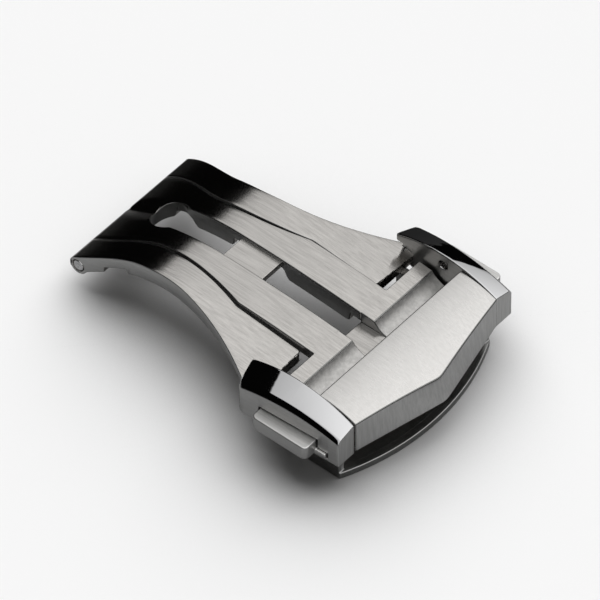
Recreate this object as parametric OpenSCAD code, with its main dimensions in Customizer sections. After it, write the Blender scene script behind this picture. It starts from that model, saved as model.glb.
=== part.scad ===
/* [Strap] */
// Width of the strap end that lies between the side walls
strap_w = 18.0; // [16:0.5:20]
// Play of the strap at each side
strap_play = 0.15; // [0.1:0.05:0.3]
// Diameter of the spring bar seats in the side walls
seat_d = 0.9; // [0.8:0.05:1.1]
// Depth of the spring bar seats
seat_depth = 1.0; // [0.7:0.1:1.2]
// Height of the spring bar seats above the table
seat_z = 7.1; // [6.9:0.05:7.2]
// Distance from the rear edge of the cover back to the spring bar seats
seat_back = 1.95; // [1.7:0.05:2.2]

/* [Blades] */
// Distance from the hinge pin to the rear edge of the cover
cover_x = 27.95; // [27:0.25:30]
// Distance from the hinge pin to the highest line of the blades
crest_x = 10.5; // [10:0.25:11]
// Height of the highest line of the blades above the table
crest_z = 6.75; // [6.6:0.05:6.9]
// Radius of the blades' top face from the hinge to the highest line
hinge_arc_r = 20.5; // [20:0.25:22]
// Radius of the blades' top face from the highest line to the cover
head_arc_r = 145; // [120:5:200]
// Thickness of the outer blade
outer_t = 1.6; // [1.4:0.05:1.8]
// Thickness of the inner blade between its ribs
inner_t = 1.0; // [0.8:0.05:1.3]
// Depth of the inner blade's ribs below its top face
rib_depth = 2.0; // [1.7:0.05:2.1]
// Thickness of the inner blade's ribs
rib_t = 0.8; // [0.6:0.05:1.0]
// Half width of the blades at the hinge
knuckle_half = 7.45; // [7.2:0.05:7.8]
// Half width of the blades at their waist
waist_half = 6.37; // [6.1:0.05:6.6]
// Half width of the outer blade where it meets the side walls
flare_half = 9.85; // [9.5:0.05:10.0]
// Half width of the inner blade at the hinge
lobe_half = 4.6; // [4.4:0.05:4.8]
// Half width of the inner blade at its waist
lobe_waist_half = 3.43; // [3.3:0.05:3.6]
// Half width of the inner blade near its cross arms
arm_root_half = 4.66; // [4.5:0.05:4.8]
// Side gap between the two blades at the hinge
hinge_gap = 0.1; // [0.06:0.01:0.15]
// Side gap between the two blades from the waist on
waist_gap = 0.2; // [0.15:0.01:0.3]
// Half width of the line from which the outer blade's top face falls away
fall_half = 7.14; // [6.9:0.05:7.3]
// Fall of the outer blade's top face toward the head, per length
fall = 0.098; // [0.08:0.002:0.1]
// Distance from the hinge pin to the round end of the slot
slot_x = 2.15; // [2.0:0.05:2.5]
// Width of the slot along the middle of the inner blade
slot_w = 2.65; // [2.4:0.05:2.8]
// Diameter of the round end of that slot
slot_end_d = 3.4; // [3.1:0.1:3.6]
// Width of the cross arms along the clasp
arm_w = 1.45; // [1.3:0.05:1.7]
// Gap between the outer blade's ends and the cross arms
arm_slot = 1.2; // [1.0:0.05:1.4]
// Distance from the hinge pin to the bridge in the slot
bridge_x = 10.7; // [10.5:0.05:11]
// Length of the bridge
bridge_l = 4.25; // [4:0.05:4.4]
// Thickness of the bridge
bridge_t = 0.6; // [0.5:0.05:0.8]
// Drop of the bridge below the blade's top face
bridge_drop = 0.42; // [0.3:0.02:0.5]

/* [Hinge] */
// Radius of the knuckles
knuckle_r = 0.9; // [0.85:0.05:1.1]
// Diameter of the hinge pin
pin_d = 1.1; // [1.0:0.05:1.2]
// Radial clearance of the pins in their holes
pin_play = 0.03; // [0.02:0.01:0.05]

/* [Side walls] */
// Thickness of the side walls at the middle of their length
wall_t = 2.3; // [2.15:0.05:2.4]
// Further thickness of the side walls at their rear end, which they lack at their front end
wall_flare = 0.25; // [0.1:0.05:0.3]
// Length of the side walls
wall_l = 10.9; // [10.5:0.1:11.5]
// Height of the side walls' lower face above the table
wall_z = 3.5; // [3.4:0.05:3.6]
// Height of the polished cap at its inner edge
cap_z = 8.4; // [8.2:0.05:8.6]
// Height of the polished cap at its outer edge
cap_edge_z = 7.3; // [7.1:0.05:7.4]
// Radius of the polished cap along its inner edge
cap_arc_r = 13; // [12:0.5:16]
// Radius of the polished cap along its outer edge
cap_edge_r = 21; // [18:0.5:24]
// Depth of the hollow under the rear end of the polished cap
cap_hollow = 0.75; // [0.6:0.05:0.9]

/* [Cover] */
// Length of the cover at its sides
cover_side_l = 3.9; // [3.7:0.05:4.1]
// Further length of the cover at its tip
cover_point_l = 2.15; // [1.9:0.05:2.4]
// Height of the cover's highest line
cover_z = 7.85; // [7.75:0.05:7.95]
// Radius of the cover's top face
cover_arc_r = 10; // [9.5:0.5:14]
// Lean of the cover's front wall at its tip, over the cover's whole height
cover_lean = 1.1; // [0.8:0.05:1.3]
// Thickness of the cover's plate
cover_t = 1.15; // [1.0:0.05:1.3]
// Thickness of the cover's front wall
cover_wall_t = 1.0; // [0.8:0.05:1.1]
// Height of the front wall's lower edge above the table
cover_low_z = 3.75; // [3.7:0.05:3.9]
// Seam between the cover and each side wall
seam = 0.04; // [0.02:0.01:0.06]
// Diameter of the dowels that hold the cover
dowel_d = 0.6; // [0.5:0.05:0.7]

/* [Pushers] */
// Length of a pusher
push_l = 5.85; // [5.6:0.05:6.2]
// Height of a pusher
push_h = 1.4; // [1.3:0.05:1.45]
// Height of a pusher's lower face above the table
push_z = 3.97; // [3.9:0.01:4.05]
// Stand of a pusher out of the side wall
push_stand = 1.3; // [1.1:0.05:1.4]
// Travel of a pusher
push_travel = 0.7; // [0.6:0.05:0.75]
// Play around a pusher
push_play = 0.08; // [0.06:0.01:0.1]
// Wire of the pusher's spring
spring_wire = 0.14; // [0.12:0.01:0.16]
// Outer diameter of the pusher's spring
spring_d = 0.84; // [0.8:0.02:0.9]
// Turns of the pusher's spring
spring_turns = 5; // [4:1:6]

/* [Lower plate] */
// Height of the inner blade's front plateau above the table
plateau_z = 5.0; // [4.95:0.05:5.05]
// Thickness of that plateau
plateau_t = 0.8; // [0.7:0.05:0.9]
// Half width of the strap tray
tray_half = 9.75; // [9.6:0.05:9.85]
// Thickness of the tray's side walls
tray_wall_t = 0.7; // [0.55:0.05:0.75]
// Thickness of the tray's floor
tray_floor_t = 0.7; // [0.6:0.05:0.8]
// Height of the tray
tray_h = 3.3; // [3.2:0.05:3.35]
// Length of the tray at its sides
tray_side_l = 9.3; // [9.0:0.1:9.5]
// Further length of the tray's round front at the middle
tray_bow = 2.2; // [2.0:0.05:2.5]
// Length of the clamp flap from its pin
flap_l = 6.6; // [6.2:0.1:6.8]
// Thickness of the clamp flap
flap_t = 0.55; // [0.45:0.05:0.6]
// Height of the teeth on the clamp bar
tooth_h = 0.5; // [0.3:0.05:0.6]
// Number of teeth on the clamp bar
teeth = 12; // [8:1:16]
// Diameter of the clamp flap's pin
flap_pin_d = 0.7; // [0.6:0.05:0.8]

/* [Hidden] */
steel = [0.78, 0.77, 0.75];
polished = [0.86, 0.86, 0.87];
dark_steel = [0.6, 0.6, 0.62];
$fn = 48;
big = 60;
eps = 0.01;

// Heights and half widths that follow from the sizes above
inner_half = strap_w / 2 + strap_play;
outer_half = inner_half + wall_t;
pin_z = crest_z - hinge_arc_r + sqrt(pow(hinge_arc_r - knuckle_r, 2) - pow(crest_x, 2));
touch_x = -crest_x * knuckle_r / (hinge_arc_r - knuckle_r);
touch_z = crest_z - hinge_arc_r + (pin_z - crest_z + hinge_arc_r) * hinge_arc_r / (hinge_arc_r - knuckle_r);
arm_x0 = cover_x - 4.35;
arm_x1 = arm_x0 + arm_w;
rail_end_x = arm_x0 - arm_slot;
wall_x1 = cover_x + cover_side_l - 0.1;
wall_x0 = wall_x1 - wall_l;
seat_x = cover_x - seat_back;
body_half = inner_half - 0.2;
head_z = plateau_z - plateau_t;
head_x1 = cover_x + cover_side_l - 1.25;
front_x = cover_x + cover_side_l + cover_point_l;
centre_x = (front_x - knuckle_r) / 2;

// Sizes of the pushers and of what they work on
push_x1 = cover_x + 1.55;
push_x0 = push_x1 - push_l;
push_out = outer_half + push_stand;
pocket_w = inner_half + 0.65;
push_in = pocket_w + push_travel + 0.05;
stem_x = push_x1 - 0.75;
stem_w = 0.8;
stem_z0 = push_z + 0.33;
stem_z1 = push_z + 1.18;
stem_in = body_half - 0.75;
rivet_d = 0.44;
hook_t = 0.3;
hook_l = 2.3;
pocket_l = hook_l + 0.3;
catch_in = stem_in + 0.3;
spring_x = push_x0 + 3.2;
spring_z = push_z + push_h / 2;
spring_top = outer_half + 0.35;
stop_x = push_x0 + 1.25;
stop_w = outer_half - 0.42;
stop_d = 0.4;
lip_t = 0.5;
lip_l = 1.05;
lip_h = 0.42;

// Sizes of the tray and of the flap in its floor
tray_x0 = cover_x - 6.6;
tray_x1 = tray_x0 + tray_side_l;
flange_t = 0.4;
flange_in = 8.2;
flange_half = body_half - 0.05;
flap_half = flange_in - 0.15;
flap_pin_x = tray_x0 + 0.75;
flap_pin_z = 0.75;
barrel_r = 0.62;
flap_lift = 0.1;
flap_slot_pitch = (flap_l - 1.2) / 3;

// A smooth value between two values, with t from 0 to 1
function blend(a, b, t) = let (u = min(max(t, 0), 1)) a + (b - a) * u * u * (3 - 2 * u);
// Half width of the outer blade's outer edge
function outer_edge(x) = x < 8 ? blend(knuckle_half, waist_half, (x + 0.3) / 6.4)
    : waist_half + (flare_half - waist_half) * pow((x - 8) / (wall_x0 - 8.9), 1.95);
// Side gap between the two blades
function blade_gap(x) = blend(hinge_gap, waist_gap, (x - 1.5) / 3);
// Half width of the inner blade's outer edge
function inner_edge(x) = x < 7.6 ? blend(lobe_half, lobe_waist_half, (x - 0.3) / 6.3)
    : lobe_waist_half + (arm_root_half - lobe_waist_half) * pow(min((x - 7.6) / 7.8, 1), 1.85);
// Half width of the slot past its round end, which it meets in a soft neck
function slot_half(x) = let (r = slot_end_d / 2, u = x - slot_x - r, ring = u < r ? sqrt(r * r - u * u) : 0)
    min(r, (ring + slot_w / 2 + sqrt(pow(ring - slot_w / 2, 2) + 0.01)) / 2);
// Points of an edge from x0 to x1, on the side given by s
function edge_points(x0, x1, s, kind, n = 32) = [for (i = [0 : n])
    let (x = x0 + (x1 - x0) * i / n)
    [x, s * (kind == 0 ? outer_edge(x) : kind == 1 ? inner_edge(x) + blade_gap(x) : inner_edge(x))]];
// Points of the corner b between a and c, rounded with radius r
function rounded(a, b, c, r, n = 5) = let (
    u = (a - b) / norm(a - b),
    v = (c - b) / norm(c - b),
    half = acos(u * v) / 2,
    o = b + (u + v) / norm(u + v) * r / sin(half),
    p = b + u * r / tan(half) - o,
    turn = (180 - 2 * half) * sign(u[1] * v[0] - u[0] * v[1]))
    [for (i = [0 : n]) let (t = turn * i / n)
        o + [p[0] * cos(t) - p[1] * sin(t), p[0] * sin(t) + p[1] * cos(t)]];
function flip(p) = [for (i = [len(p) - 1 : -1 : 0]) p[i]];
// Height of the blades' top face
function top_z(x) = let (r = x < crest_x ? hinge_arc_r : head_arc_r)
    crest_z - r + sqrt(r * r - pow(x - crest_x, 2));

// Stands the part on the table with its middle over the origin
module seated() { translate([-centre_x, 0, 0]) children(); }

// Turns a side view into a slab across the clasp
module slab(w0, w1) {
    rotate([90, 0, 0]) translate([0, 0, -w1]) linear_extrude(w1 - w0) children();
}

// A box from one corner to the other
module block(a, b) { translate(a) cube(b - a); }

// A round bar across the clasp
module cross_bar(x, z, r, w0, w1) {
    translate([x, w0, z]) rotate([-90, 0, 0]) cylinder(r = r, h = w1 - w0);
}

// The part on the far side, turned over to the near side
module side(near) { if (near) mirror([0, 1, 0]) children(); else children(); }

// Side view of a blade from x0 to x1, with its two top arcs
module blade_view(t, x0, x1) {
    intersection() {
        translate([x0, 0]) square([x1 - x0, 2 * crest_z]);
        union() {
            if (x0 < crest_x) intersection() {
                translate([crest_x, crest_z - hinge_arc_r]) difference() {
                    circle(hinge_arc_r, $fn = 240);
                    circle(hinge_arc_r - t, $fn = 240);
                }
                translate([crest_x - big, 0]) square([big, big]);
            }
            if (x1 > crest_x) intersection() {
                translate([crest_x, crest_z - head_arc_r]) difference() {
                    circle(head_arc_r, $fn = 720);
                    circle(head_arc_r - t, $fn = 720);
                }
                translate([crest_x, 0]) square([big, big]);
            }
        }
    }
}

// Solid of a blade under its top arcs
module blade_slab(t, x0, x1, w0, w1) { slab(w0, w1) blade_view(t, x0, x1); }

// Knuckle around the hinge pin, tangent to the blade's top, with a neck that leads into the blade
module knuckle() {
    cross_bar(0, pin_z, knuckle_r, -big, big);
    slab(-big, big) intersection() {
        translate([crest_x, crest_z - hinge_arc_r]) circle(hinge_arc_r, $fn = 240);
        polygon([[0, pin_z], [2 * touch_x, 2 * touch_z - pin_z], [eps, 2 * touch_z - pin_z], [eps, pin_z]]);
    }
    slab(-big, big) polygon([[0, pin_z - knuckle_r], [0, top_z(0) - 0.3], [1.6, top_z(1.6) - 0.4],
        [2.2, top_z(2.2) - outer_t - 0.02]]);
}

// Round hole of the hinge pin
module pin_hole(r, w0, w1) { cross_bar(0, pin_z, r, w0 - 1, w1 + 1); }

// V groove along the middle of the hinge end, cut to a depth and a half width
module hinge_groove(depth, half) {
    rise = atan2(top_z(3.2) - top_z(-0.3), 3.5);
    translate([-0.3, 0, top_z(-0.3) - depth]) rotate([0, -rise, 0]) translate([-3, 0, 0])
        rotate([90, 0, 90]) linear_extrude(8)
            polygon([[0, 0], [2 * half, 2 * depth], [-2 * half, 2 * depth]]);
}

// Inner blade with its two rails, cross arms, plateau and catch pockets
module lower_blade() {
    color(steel) seated() difference() {
        union() {
            intersection() {
                union() {
                    blade_slab(inner_t, 0, arm_x1, -big, big);
                    blade_slab(outer_t, 0, 3.2, -big, big);
                    knuckle();
                }
                linear_extrude(big) polygon(concat(edge_points(-knuckle_r - 0.1, arm_x0 + eps, -1, 2),
                    flip(edge_points(-knuckle_r - 0.1, arm_x0 + eps, 1, 2))));
            }
            for (s = [0, 1]) side(s == 0) {
                rib(4.9, 9.8, 1.0);
                rib(bridge_x + bridge_l + 0.15, arm_x0 - 1.1, 0.7);
            }
            slab(-body_half, body_half) head_view();
            for (s = [0, 1]) side(s == 0)
                block([tray_x0 + 0.3, flange_in, tray_h], [cover_x + 2.2, flange_half, head_z + eps]);
        }
        pin_hole(pin_d / 2 + pin_play, -lobe_half, lobe_half);
        blade_slot();
        hinge_groove(0.35, 0.95);
        for (s = [0, 1]) side(s == 0) catch_pocket();
    }
}

// Slot along the middle of the inner blade, with its round end
module blade_slot() {
    r = slot_end_d / 2;
    neck = [for (i = [0 : 16]) slot_x + r * (1 + i / 10)];
    translate([slot_x + r, 0, 0]) cylinder(r = r, h = big);
    linear_extrude(big) polygon(concat([for (x = neck) [x, -slot_half(x)]],
        [[arm_x0, -slot_w / 2], [arm_x0, slot_w / 2]], flip([for (x = neck) [x, slot_half(x)]])));
    block([arm_x0 - 1, -slot_w / 2 - 0.04, plateau_z], [arm_x1 + 3, slot_w / 2 + 0.04, big]);
}

// Rib along the slot, which swells from the blade over the length rise and ends in a small radius
module rib(x0, x1, rise) {
    r = 0.4;
    swell = [for (i = [0 : 6]) let (x = x0 + rise * i / 6) [x, top_z(x) - blend(inner_t, rib_depth, i / 6)]];
    run = [for (i = [1 : 6]) let (x = x0 + rise + (x1 - r - x0 - rise) * i / 6) [x, top_z(x) - rib_depth]];
    end = [for (a = [22.5 : 22.5 : 90]) let (x = x1 - r + r * sin(a))
        [x, top_z(x) - rib_depth + r * (1 - cos(a))]];
    top = [for (i = [6 : -1 : 0]) let (x = x0 + (x1 - x0) * i / 6) [x, top_z(x) - inner_t / 2]];
    slab(slot_w / 2, slot_w / 2 + rib_t) polygon(concat(swell, run, end, top));
}

// Side view of the cross arms, the hollow bevel and the plateau
module head_view() {
    r = 2.4;
    foot_x = arm_x1 + sqrt(r * r - pow(plateau_z + r - top_z(arm_x1), 2));
    difference() {
        union() {
            blade_view(top_z(arm_x0) - head_z - 0.1, arm_x0, arm_x1 + 1.8);
            translate([arm_x0, head_z]) square([head_x1 - arm_x0, plateau_t]);
        }
        translate([foot_x, plateau_z + r]) circle(r, $fn = 96);
        translate([foot_x, plateau_z]) square([big, big]);
    }
}

// Pocket that a latch hook dips into, with the slot for its stem
module catch_pocket() {
    play = 0.12;
    block([stem_x - pocket_l / 2, stem_in - push_travel - hook_t - 0.35, 0],
        [stem_x + pocket_l / 2, catch_in, big]);
    block([stem_x - stem_w / 2 - play, catch_in - eps, 0], [stem_x + stem_w / 2 + play, inner_half + 1, big]);
}

// Bridge that ties the two rails across the slot
module blade_bridge() {
    x1 = bridge_x + bridge_l;
    color(polished) seated() intersection() {
        difference() {
            blade_slab(bridge_drop + bridge_t, bridge_x, x1, -slot_w / 2, slot_w / 2);
            blade_slab(bridge_drop, bridge_x - 1, x1 + 1, -big, big);
        }
        block([bridge_x, -big, 0], [x1, big, crest_z - bridge_drop]);
    }
}

// Plan of the tray, with its round front
module tray_plan(half, x0, grow = 0) {
    r = (pow(tray_half, 2) + pow(tray_bow, 2)) / (2 * tray_bow);
    intersection() {
        translate([x0, -half]) square([big, 2 * half]);
        translate([tray_x1 + tray_bow - r + grow, 0]) circle(r, $fn = 240);
    }
}

// Tray that guides the other strap end, with the window for the flap
module strap_tray() {
    window_x = flap_pin_x + flap_l + 0.15;
    color(steel) seated() difference() {
        union() {
            linear_extrude(tray_floor_t) tray_plan(tray_half, tray_x0);
            for (s = [0, 1]) side(s == 0) {
                block([tray_x0, tray_half - tray_wall_t, 0], [tray_x1 - 0.1, tray_half, tray_h]);
                block([tray_x0 + 0.3, flange_in, tray_h - flange_t], [cover_x + 2.2, tray_half, tray_h]);
                block([tray_x0, flange_in, 0], [tray_x0 + 1.5, tray_half, flap_pin_z + barrel_r]);
            }
        }
        block([tray_x0 - 1, -flange_in, -1], [window_x, flange_in, tray_floor_t + 1]);
        translate([0, 0, tray_floor_t - 0.2]) linear_extrude(1) difference() {
            tray_plan(tray_half - tray_wall_t, window_x + 0.5, -0.75);
            translate([window_x - big, -big]) square([big, 2 * big]);
        }
        cross_bar(flap_pin_x, flap_pin_z, flap_pin_d / 2 + pin_play, -tray_half - 1, tray_half + 1);
    }
}

// Pin that both blades turn on
module hinge_pin() {
    color(polished) seated() cross_bar(0, pin_z, pin_d / 2, -knuckle_half + 0.03, knuckle_half - 0.03);
}

// Pin that the clamp flap turns on
module flap_pin() {
    half = tray_half - 0.05;
    color(polished) seated() cross_bar(flap_pin_x, flap_pin_z, flap_pin_d / 2, -half, half);
}

// Flap that opens under the tray to free the strap
module clamp_flap() {
    end_x = flap_pin_x + flap_l;
    color(steel) seated() difference() {
        union() {
            cross_bar(flap_pin_x, flap_pin_z, barrel_r, -flap_half, flap_half);
            block([flap_pin_x, -flap_half, flap_lift], [end_x, flap_half, flap_lift + flap_t]);
        }
        cross_bar(flap_pin_x, flap_pin_z, flap_pin_d / 2 + pin_play, -big, big);
        for (i = [1, 2]) let (x = flap_pin_x + flap_slot_pitch * i + 0.4)
            block([x, -flap_half + 2.8, -1], [x + 0.7, flap_half - 2.8, 2]);
        translate([end_x + 0.35, 0, -1]) cylinder(r = 1.1, h = 2);
    }
}

// Toothed bar on the flap that bites the strap
module clamp_bar() {
    x0 = flap_pin_x + flap_l - 1.75;
    z0 = flap_lift + flap_t;
    span = 2 * (flap_half - 1.2);
    pitch = span / teeth;
    color(dark_steel) seated() {
        block([x0, -span / 2, z0], [x0 + 0.6, span / 2, z0 + 0.3]);
        translate([x0, -span / 2, z0 + 0.3 - eps]) rotate([90, 0, 90]) linear_extrude(0.6)
            polygon(concat([[0, 0]], [for (i = [0 : 2 * teeth]) [i * pitch / 2, i % 2 == 0 ? eps : tooth_h]],
                [[span, 0]]));
    }
}

// Side view of a side wall, with a round lower rear corner
module wall_view() {
    r = 1.3;
    union() {
        translate([wall_x0 + r, wall_z]) square([wall_l - r, big]);
        translate([wall_x0, wall_z + r]) square([wall_l, big]);
        translate([wall_x0 + r, wall_z + r]) circle(r);
    }
}

// Plan of a side wall, which grows thinner to the front, with its rear end slanted and rounded
module wall_plan() {
    rear = outer_half + wall_flare;
    front = outer_half - wall_flare;
    a = [wall_x1, inner_half];
    b = [wall_x0, inner_half];
    c = [wall_x0 + 0.5, rear];
    d = [wall_x1, front];
    polygon(concat([a], flip(rounded(c, b, a, 0.25)), flip(rounded(d, c, b, 0.5)), [d]));
}

// One half of the outer blade: its rail and the side wall with the polished cap
module side_rail() {
    edge = inner_edge(rail_end_x) + blade_gap(rail_end_x);
    difference() {
        union() {
            intersection() {
                union() {
                    blade_slab(outer_t, 0, rail_end_x, 0, big);
                    knuckle();
                }
                linear_extrude(big) polygon(concat(edge_points(-knuckle_r - 0.1, wall_x0 + 0.6, 1, 0),
                    [[rail_end_x, outer_half - 0.1]],
                    rounded([rail_end_x, outer_half], [rail_end_x, edge], [rail_end_x - 1, edge], 0.35),
                    flip(edge_points(-knuckle_r - 0.1, rail_end_x - 0.5, 1, 1))));
                rail_fall();
            }
            difference() {
                intersection() {
                    linear_extrude(big) wall_plan();
                    slab(0, big) wall_view();
                    cap_arch();
                }
                block([wall_x0 - 1, 0, 0], [wall_x0 + 1.85, inner_half + cap_hollow, crest_z]);
            }
        }
        pin_hole(pin_d / 2 + pin_play, lobe_half, knuckle_half);
        hinge_relief();
        foot_notch();
        cross_bar(seat_x, seat_z, seat_d / 2, 0, inner_half + seat_depth);
        pusher_recess();
        dowels(dowel_d / 2 + pin_play);
        cross_stop(stop_d / 2 + pin_play, 0.1);
    }
}

// Room that the inner blade's round sides take as the outer blade turns past them
module hinge_relief() {
    line = [for (i = [0 : 12]) let (x = 0.2 + 6.6 * i / 12)
        [norm([x, top_z(x) - pin_z]), inner_edge(x) + blade_gap(x) + 0.02]];
    translate([0, 0, pin_z]) rotate([-90, 0, 0]) rotate_extrude($fn = 96)
        polygon(concat([[0, 0], [0, lobe_half + hinge_gap]], line, [[line[12][0], 0]]));
}

// Solid under the outer blade's top face, which falls away outward past the highest line
module rail_fall() {
    block([-big, -big, 0], [crest_x, big, big]);
    translate([crest_x, fall_half, crest_z]) rotate([-atan(fall), 0, 0]) translate([0, 0, -big * fall])
        cylinder(r1 = big, r2 = 0, h = big * fall);
}

// Solid under the cap's top face, between the arcs of its inner and its outer edge
module cap_arch() {
    hull() {
        cap_slice(inner_half - eps, cap_z, cap_arc_r);
        cap_slice(outer_half + wall_flare, cap_edge_z - wall_flare / 2, cap_edge_r);
    }
}

// Thin slice under one arc of the cap
module cap_slice(w, z, r) {
    x = wall_x0 + 4.9;
    slab(w, w + eps) polygon(concat([[wall_x1 + 1, 0], [wall_x0 - 1, 0]],
        [for (i = [0 : 20]) let (u = wall_x0 - 1 + (wall_l + 2) * i / 20)
            [u, z - r + sqrt(r * r - pow(u - x, 2))]]));
}

// Relief under the blade behind the knuckle
module foot_notch() {
    depth = 0.5;
    slab(0, big) intersection() {
        translate([crest_x, crest_z - hinge_arc_r]) circle(hinge_arc_r - outer_t + depth, $fn = 240);
        polygon([[2.55, 0], [2.55, 6], [4.4, 6], [5.9, 0]]);
    }
}

// Recess for a pusher, with the window for its stem
module pusher_recess() {
    p = push_play;
    block([push_x0 - p, pocket_w, push_z - p], [push_x1 + p, big, push_z + push_h + p]);
    block([push_x1 - 1, outer_half - lip_t - push_travel, push_z - p],
        [push_x1 + lip_l + p, big, push_z + lip_h + p]);
    block([stem_x - stem_w / 2 - p, 0, stem_z0 - p], [stem_x + stem_w / 2 + p, pocket_w + 1, stem_z1 + p]);
}

// Stop pin that keeps a pusher in its recess
module cross_stop(r, extra) {
    translate([stop_x, stop_w, wall_z + 0.05 - extra]) cylinder(r = r, h = push_h + 1.15 + 2 * extra);
}

// Two dowels between a side wall and the cover
module dowels(r) {
    for (p = [[cover_x + 1.2, cover_z - 0.72], [cover_x + cover_side_l - 0.55, plateau_z + 0.35]])
        cross_bar(p[0], p[1], r, inner_half - 0.8, inner_half + 0.6);
}

module side_rail_near() { color(steel) seated() side(true) side_rail(); }
module side_rail_far() { color(steel) seated() side(false) side_rail(); }

// Plan of the cover, with its point set back by lean
module cover_plan(lean) {
    half = inner_half - seam;
    x1 = cover_x + cover_side_l;
    polygon([[cover_x, -half], [x1, -half], [x1 + cover_point_l - lean, 0], [x1, half], [cover_x, half]]);
}

// Block with the cover's outline, whose front wall leans back toward its tip
module cover_block() {
    hull() {
        translate([0, 0, cover_low_z]) linear_extrude(eps) cover_plan(0);
        translate([0, 0, cover_z + eps]) linear_extrude(eps) cover_plan(cover_lean);
    }
}

// Side view of the cover under its arched top
module cover_view(drop) {
    translate([cover_x - 0.1, cover_z - cover_arc_r]) circle(cover_arc_r - drop, $fn = 240);
}

// Shield-shaped cover with its front wall
module shield_cover() {
    color(steel) seated() difference() {
        intersection() {
            cover_block();
            slab(-big, big) cover_view(0);
        }
        intersection() {
            translate([0, 0, -eps]) linear_extrude(big) translate([-1, 0]) cover_cavity_plan();
            slab(-big, big) cover_view(cover_t);
        }
        for (s = [0, 1]) side(s == 0) dowels(dowel_d / 2 + pin_play);
    }
}

// Plan of the hollow under the cover
module cover_cavity_plan() {
    x1 = cover_x + cover_side_l - cover_wall_t + 0.9;
    polygon([[cover_x - 1, -big], [x1, -big], [x1, -inner_half], [x1 + cover_point_l, 0],
        [x1, inner_half], [x1, big], [cover_x - 1, big]]);
}

// Dowels that join the cover to the side walls
module cover_dowels() {
    color(polished) seated() for (s = [0, 1]) side(s == 0) dowels(dowel_d / 2);
}

// Stop pins of both pushers
module stop_pins() {
    color(polished) seated() for (s = [0, 1]) side(s == 0) cross_stop(stop_d / 2, 0);
}

// Plan of a pusher's button, with its outer corners rounded
module button_plan() {
    r = 0.55;
    union() {
        translate([push_x0, push_in]) square([push_l, push_out - push_in - r]);
        translate([push_x0 + r, push_in]) square([push_l - 2 * r, push_out - push_in]);
        for (x = [push_x0 + r, push_x1 - r]) translate([x, push_out - r]) circle(r);
    }
}

// Pusher with its lip, its stem and the hole for its spring
module pusher() {
    difference() {
        union() {
            translate([0, 0, push_z]) linear_extrude(push_h) button_plan();
            block([push_x1 - 1, outer_half + 0.05 - lip_t, push_z],
                [push_x1 + lip_l, outer_half + 0.05, push_z + lip_h]);
            block([stem_x - stem_w / 2, stem_in, stem_z0], [stem_x + stem_w / 2, push_in + eps, stem_z1]);
        }
        cross_bar(spring_x, spring_z, spring_d / 2 + 0.08, push_in - 1, spring_top);
        hull() for (y = [stop_w - 0.02, stop_w + push_travel]) translate([stop_x, y, 0])
            cylinder(r = stop_d / 2 + 0.05, h = big, $fn = 32);
        cross_bar(stem_x, (stem_z0 + stem_z1) / 2, rivet_d / 2 + 0.02, stem_in - 1, stem_in + 0.8);
    }
}

module pusher_near() { color(steel) seated() side(true) pusher(); }
module pusher_far() { color(steel) seated() side(false) pusher(); }

// Hook plate on a stem, with the nose that faces the catch
module latch_hook() {
    difference() {
        union() {
            block([stem_x - hook_l / 2, stem_in - hook_t, head_z - 0.5],
                [stem_x + hook_l / 2, stem_in, stem_z1]);
            block([stem_x - hook_l / 2, stem_in - eps, head_z - 0.5],
                [stem_x + hook_l / 2, catch_in - 0.08, head_z - 0.1]);
        }
        cross_bar(stem_x, (stem_z0 + stem_z1) / 2, rivet_d / 2 + 0.02, 0, stem_in + 1);
    }
}

module latch_hook_near() { color(dark_steel) seated() side(true) latch_hook(); }
module latch_hook_far() { color(dark_steel) seated() side(false) latch_hook(); }

// Rivet that holds a hook plate on its stem
module hook_rivet() {
    z = (stem_z0 + stem_z1) / 2;
    cross_bar(stem_x, z, rivet_d / 2, stem_in - hook_t, stem_in + 0.75);
    cross_bar(stem_x, z, rivet_d * 0.85, stem_in - hook_t - 0.15, stem_in - hook_t);
}

module hook_rivet_near() { color(polished) seated() side(true) hook_rivet(); }
module hook_rivet_far() { color(polished) seated() side(false) hook_rivet(); }

// Coil spring that pushes a pusher out, as one tube swept along a helix
module pusher_spring() {
    sides = 6;
    steps = 14 * spring_turns;
    r = spring_d / 2 - spring_wire / 2;
    y0 = pocket_w + spring_wire / 2 + 0.02;
    run = spring_top - pocket_w - spring_wire - 0.04;
    ring = [for (i = [0 : steps]) let (a = 360 * spring_turns * i / steps)
        [for (k = [0 : sides - 1]) let (b = 360 * k / sides, q = r + spring_wire / 2 * cos(b))
            [q * cos(a), y0 + run * i / steps + spring_wire / 2 * sin(b), q * sin(a)]]];
    points = [for (p = ring) each p];
    walls = [for (i = [0 : steps - 1], k = [0 : sides - 1]) let (m = (k + 1) % sides)
        each [[i * sides + k, i * sides + m, (i + 1) * sides + m],
            [i * sides + k, (i + 1) * sides + m, (i + 1) * sides + k]]];
    last = steps * sides;
    caps = [for (k = [1 : sides - 2]) each [[0, k + 1, k], [last, last + k, last + k + 1]]];
    translate([spring_x, 0, spring_z]) polyhedron(points, concat(walls, caps));
}

module pusher_spring_near() { color(dark_steel) seated() side(true) pusher_spring(); }
module pusher_spring_far() { color(dark_steel) seated() side(false) pusher_spring(); }

lower_blade();
blade_bridge();
strap_tray();
hinge_pin();
flap_pin();
clamp_flap();
clamp_bar();
side_rail_near();
side_rail_far();
shield_cover();
cover_dowels();
stop_pins();
pusher_near();
pusher_far();
latch_hook_near();
latch_hook_far();
hook_rivet_near();
hook_rivet_far();
pusher_spring_near();
pusher_spring_far();
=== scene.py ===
"""Looks of the deployant clasp: brushed blades, polished caps, pointed cover, wound springs, studio and camera."""
import logging
import math
from contextlib import contextmanager
from dataclasses import KW_ONLY, dataclass, field
from enum import Enum
from typing import Callable, Iterator, Sequence

import bmesh
import bpy
from mathutils import Matrix, Vector


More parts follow.
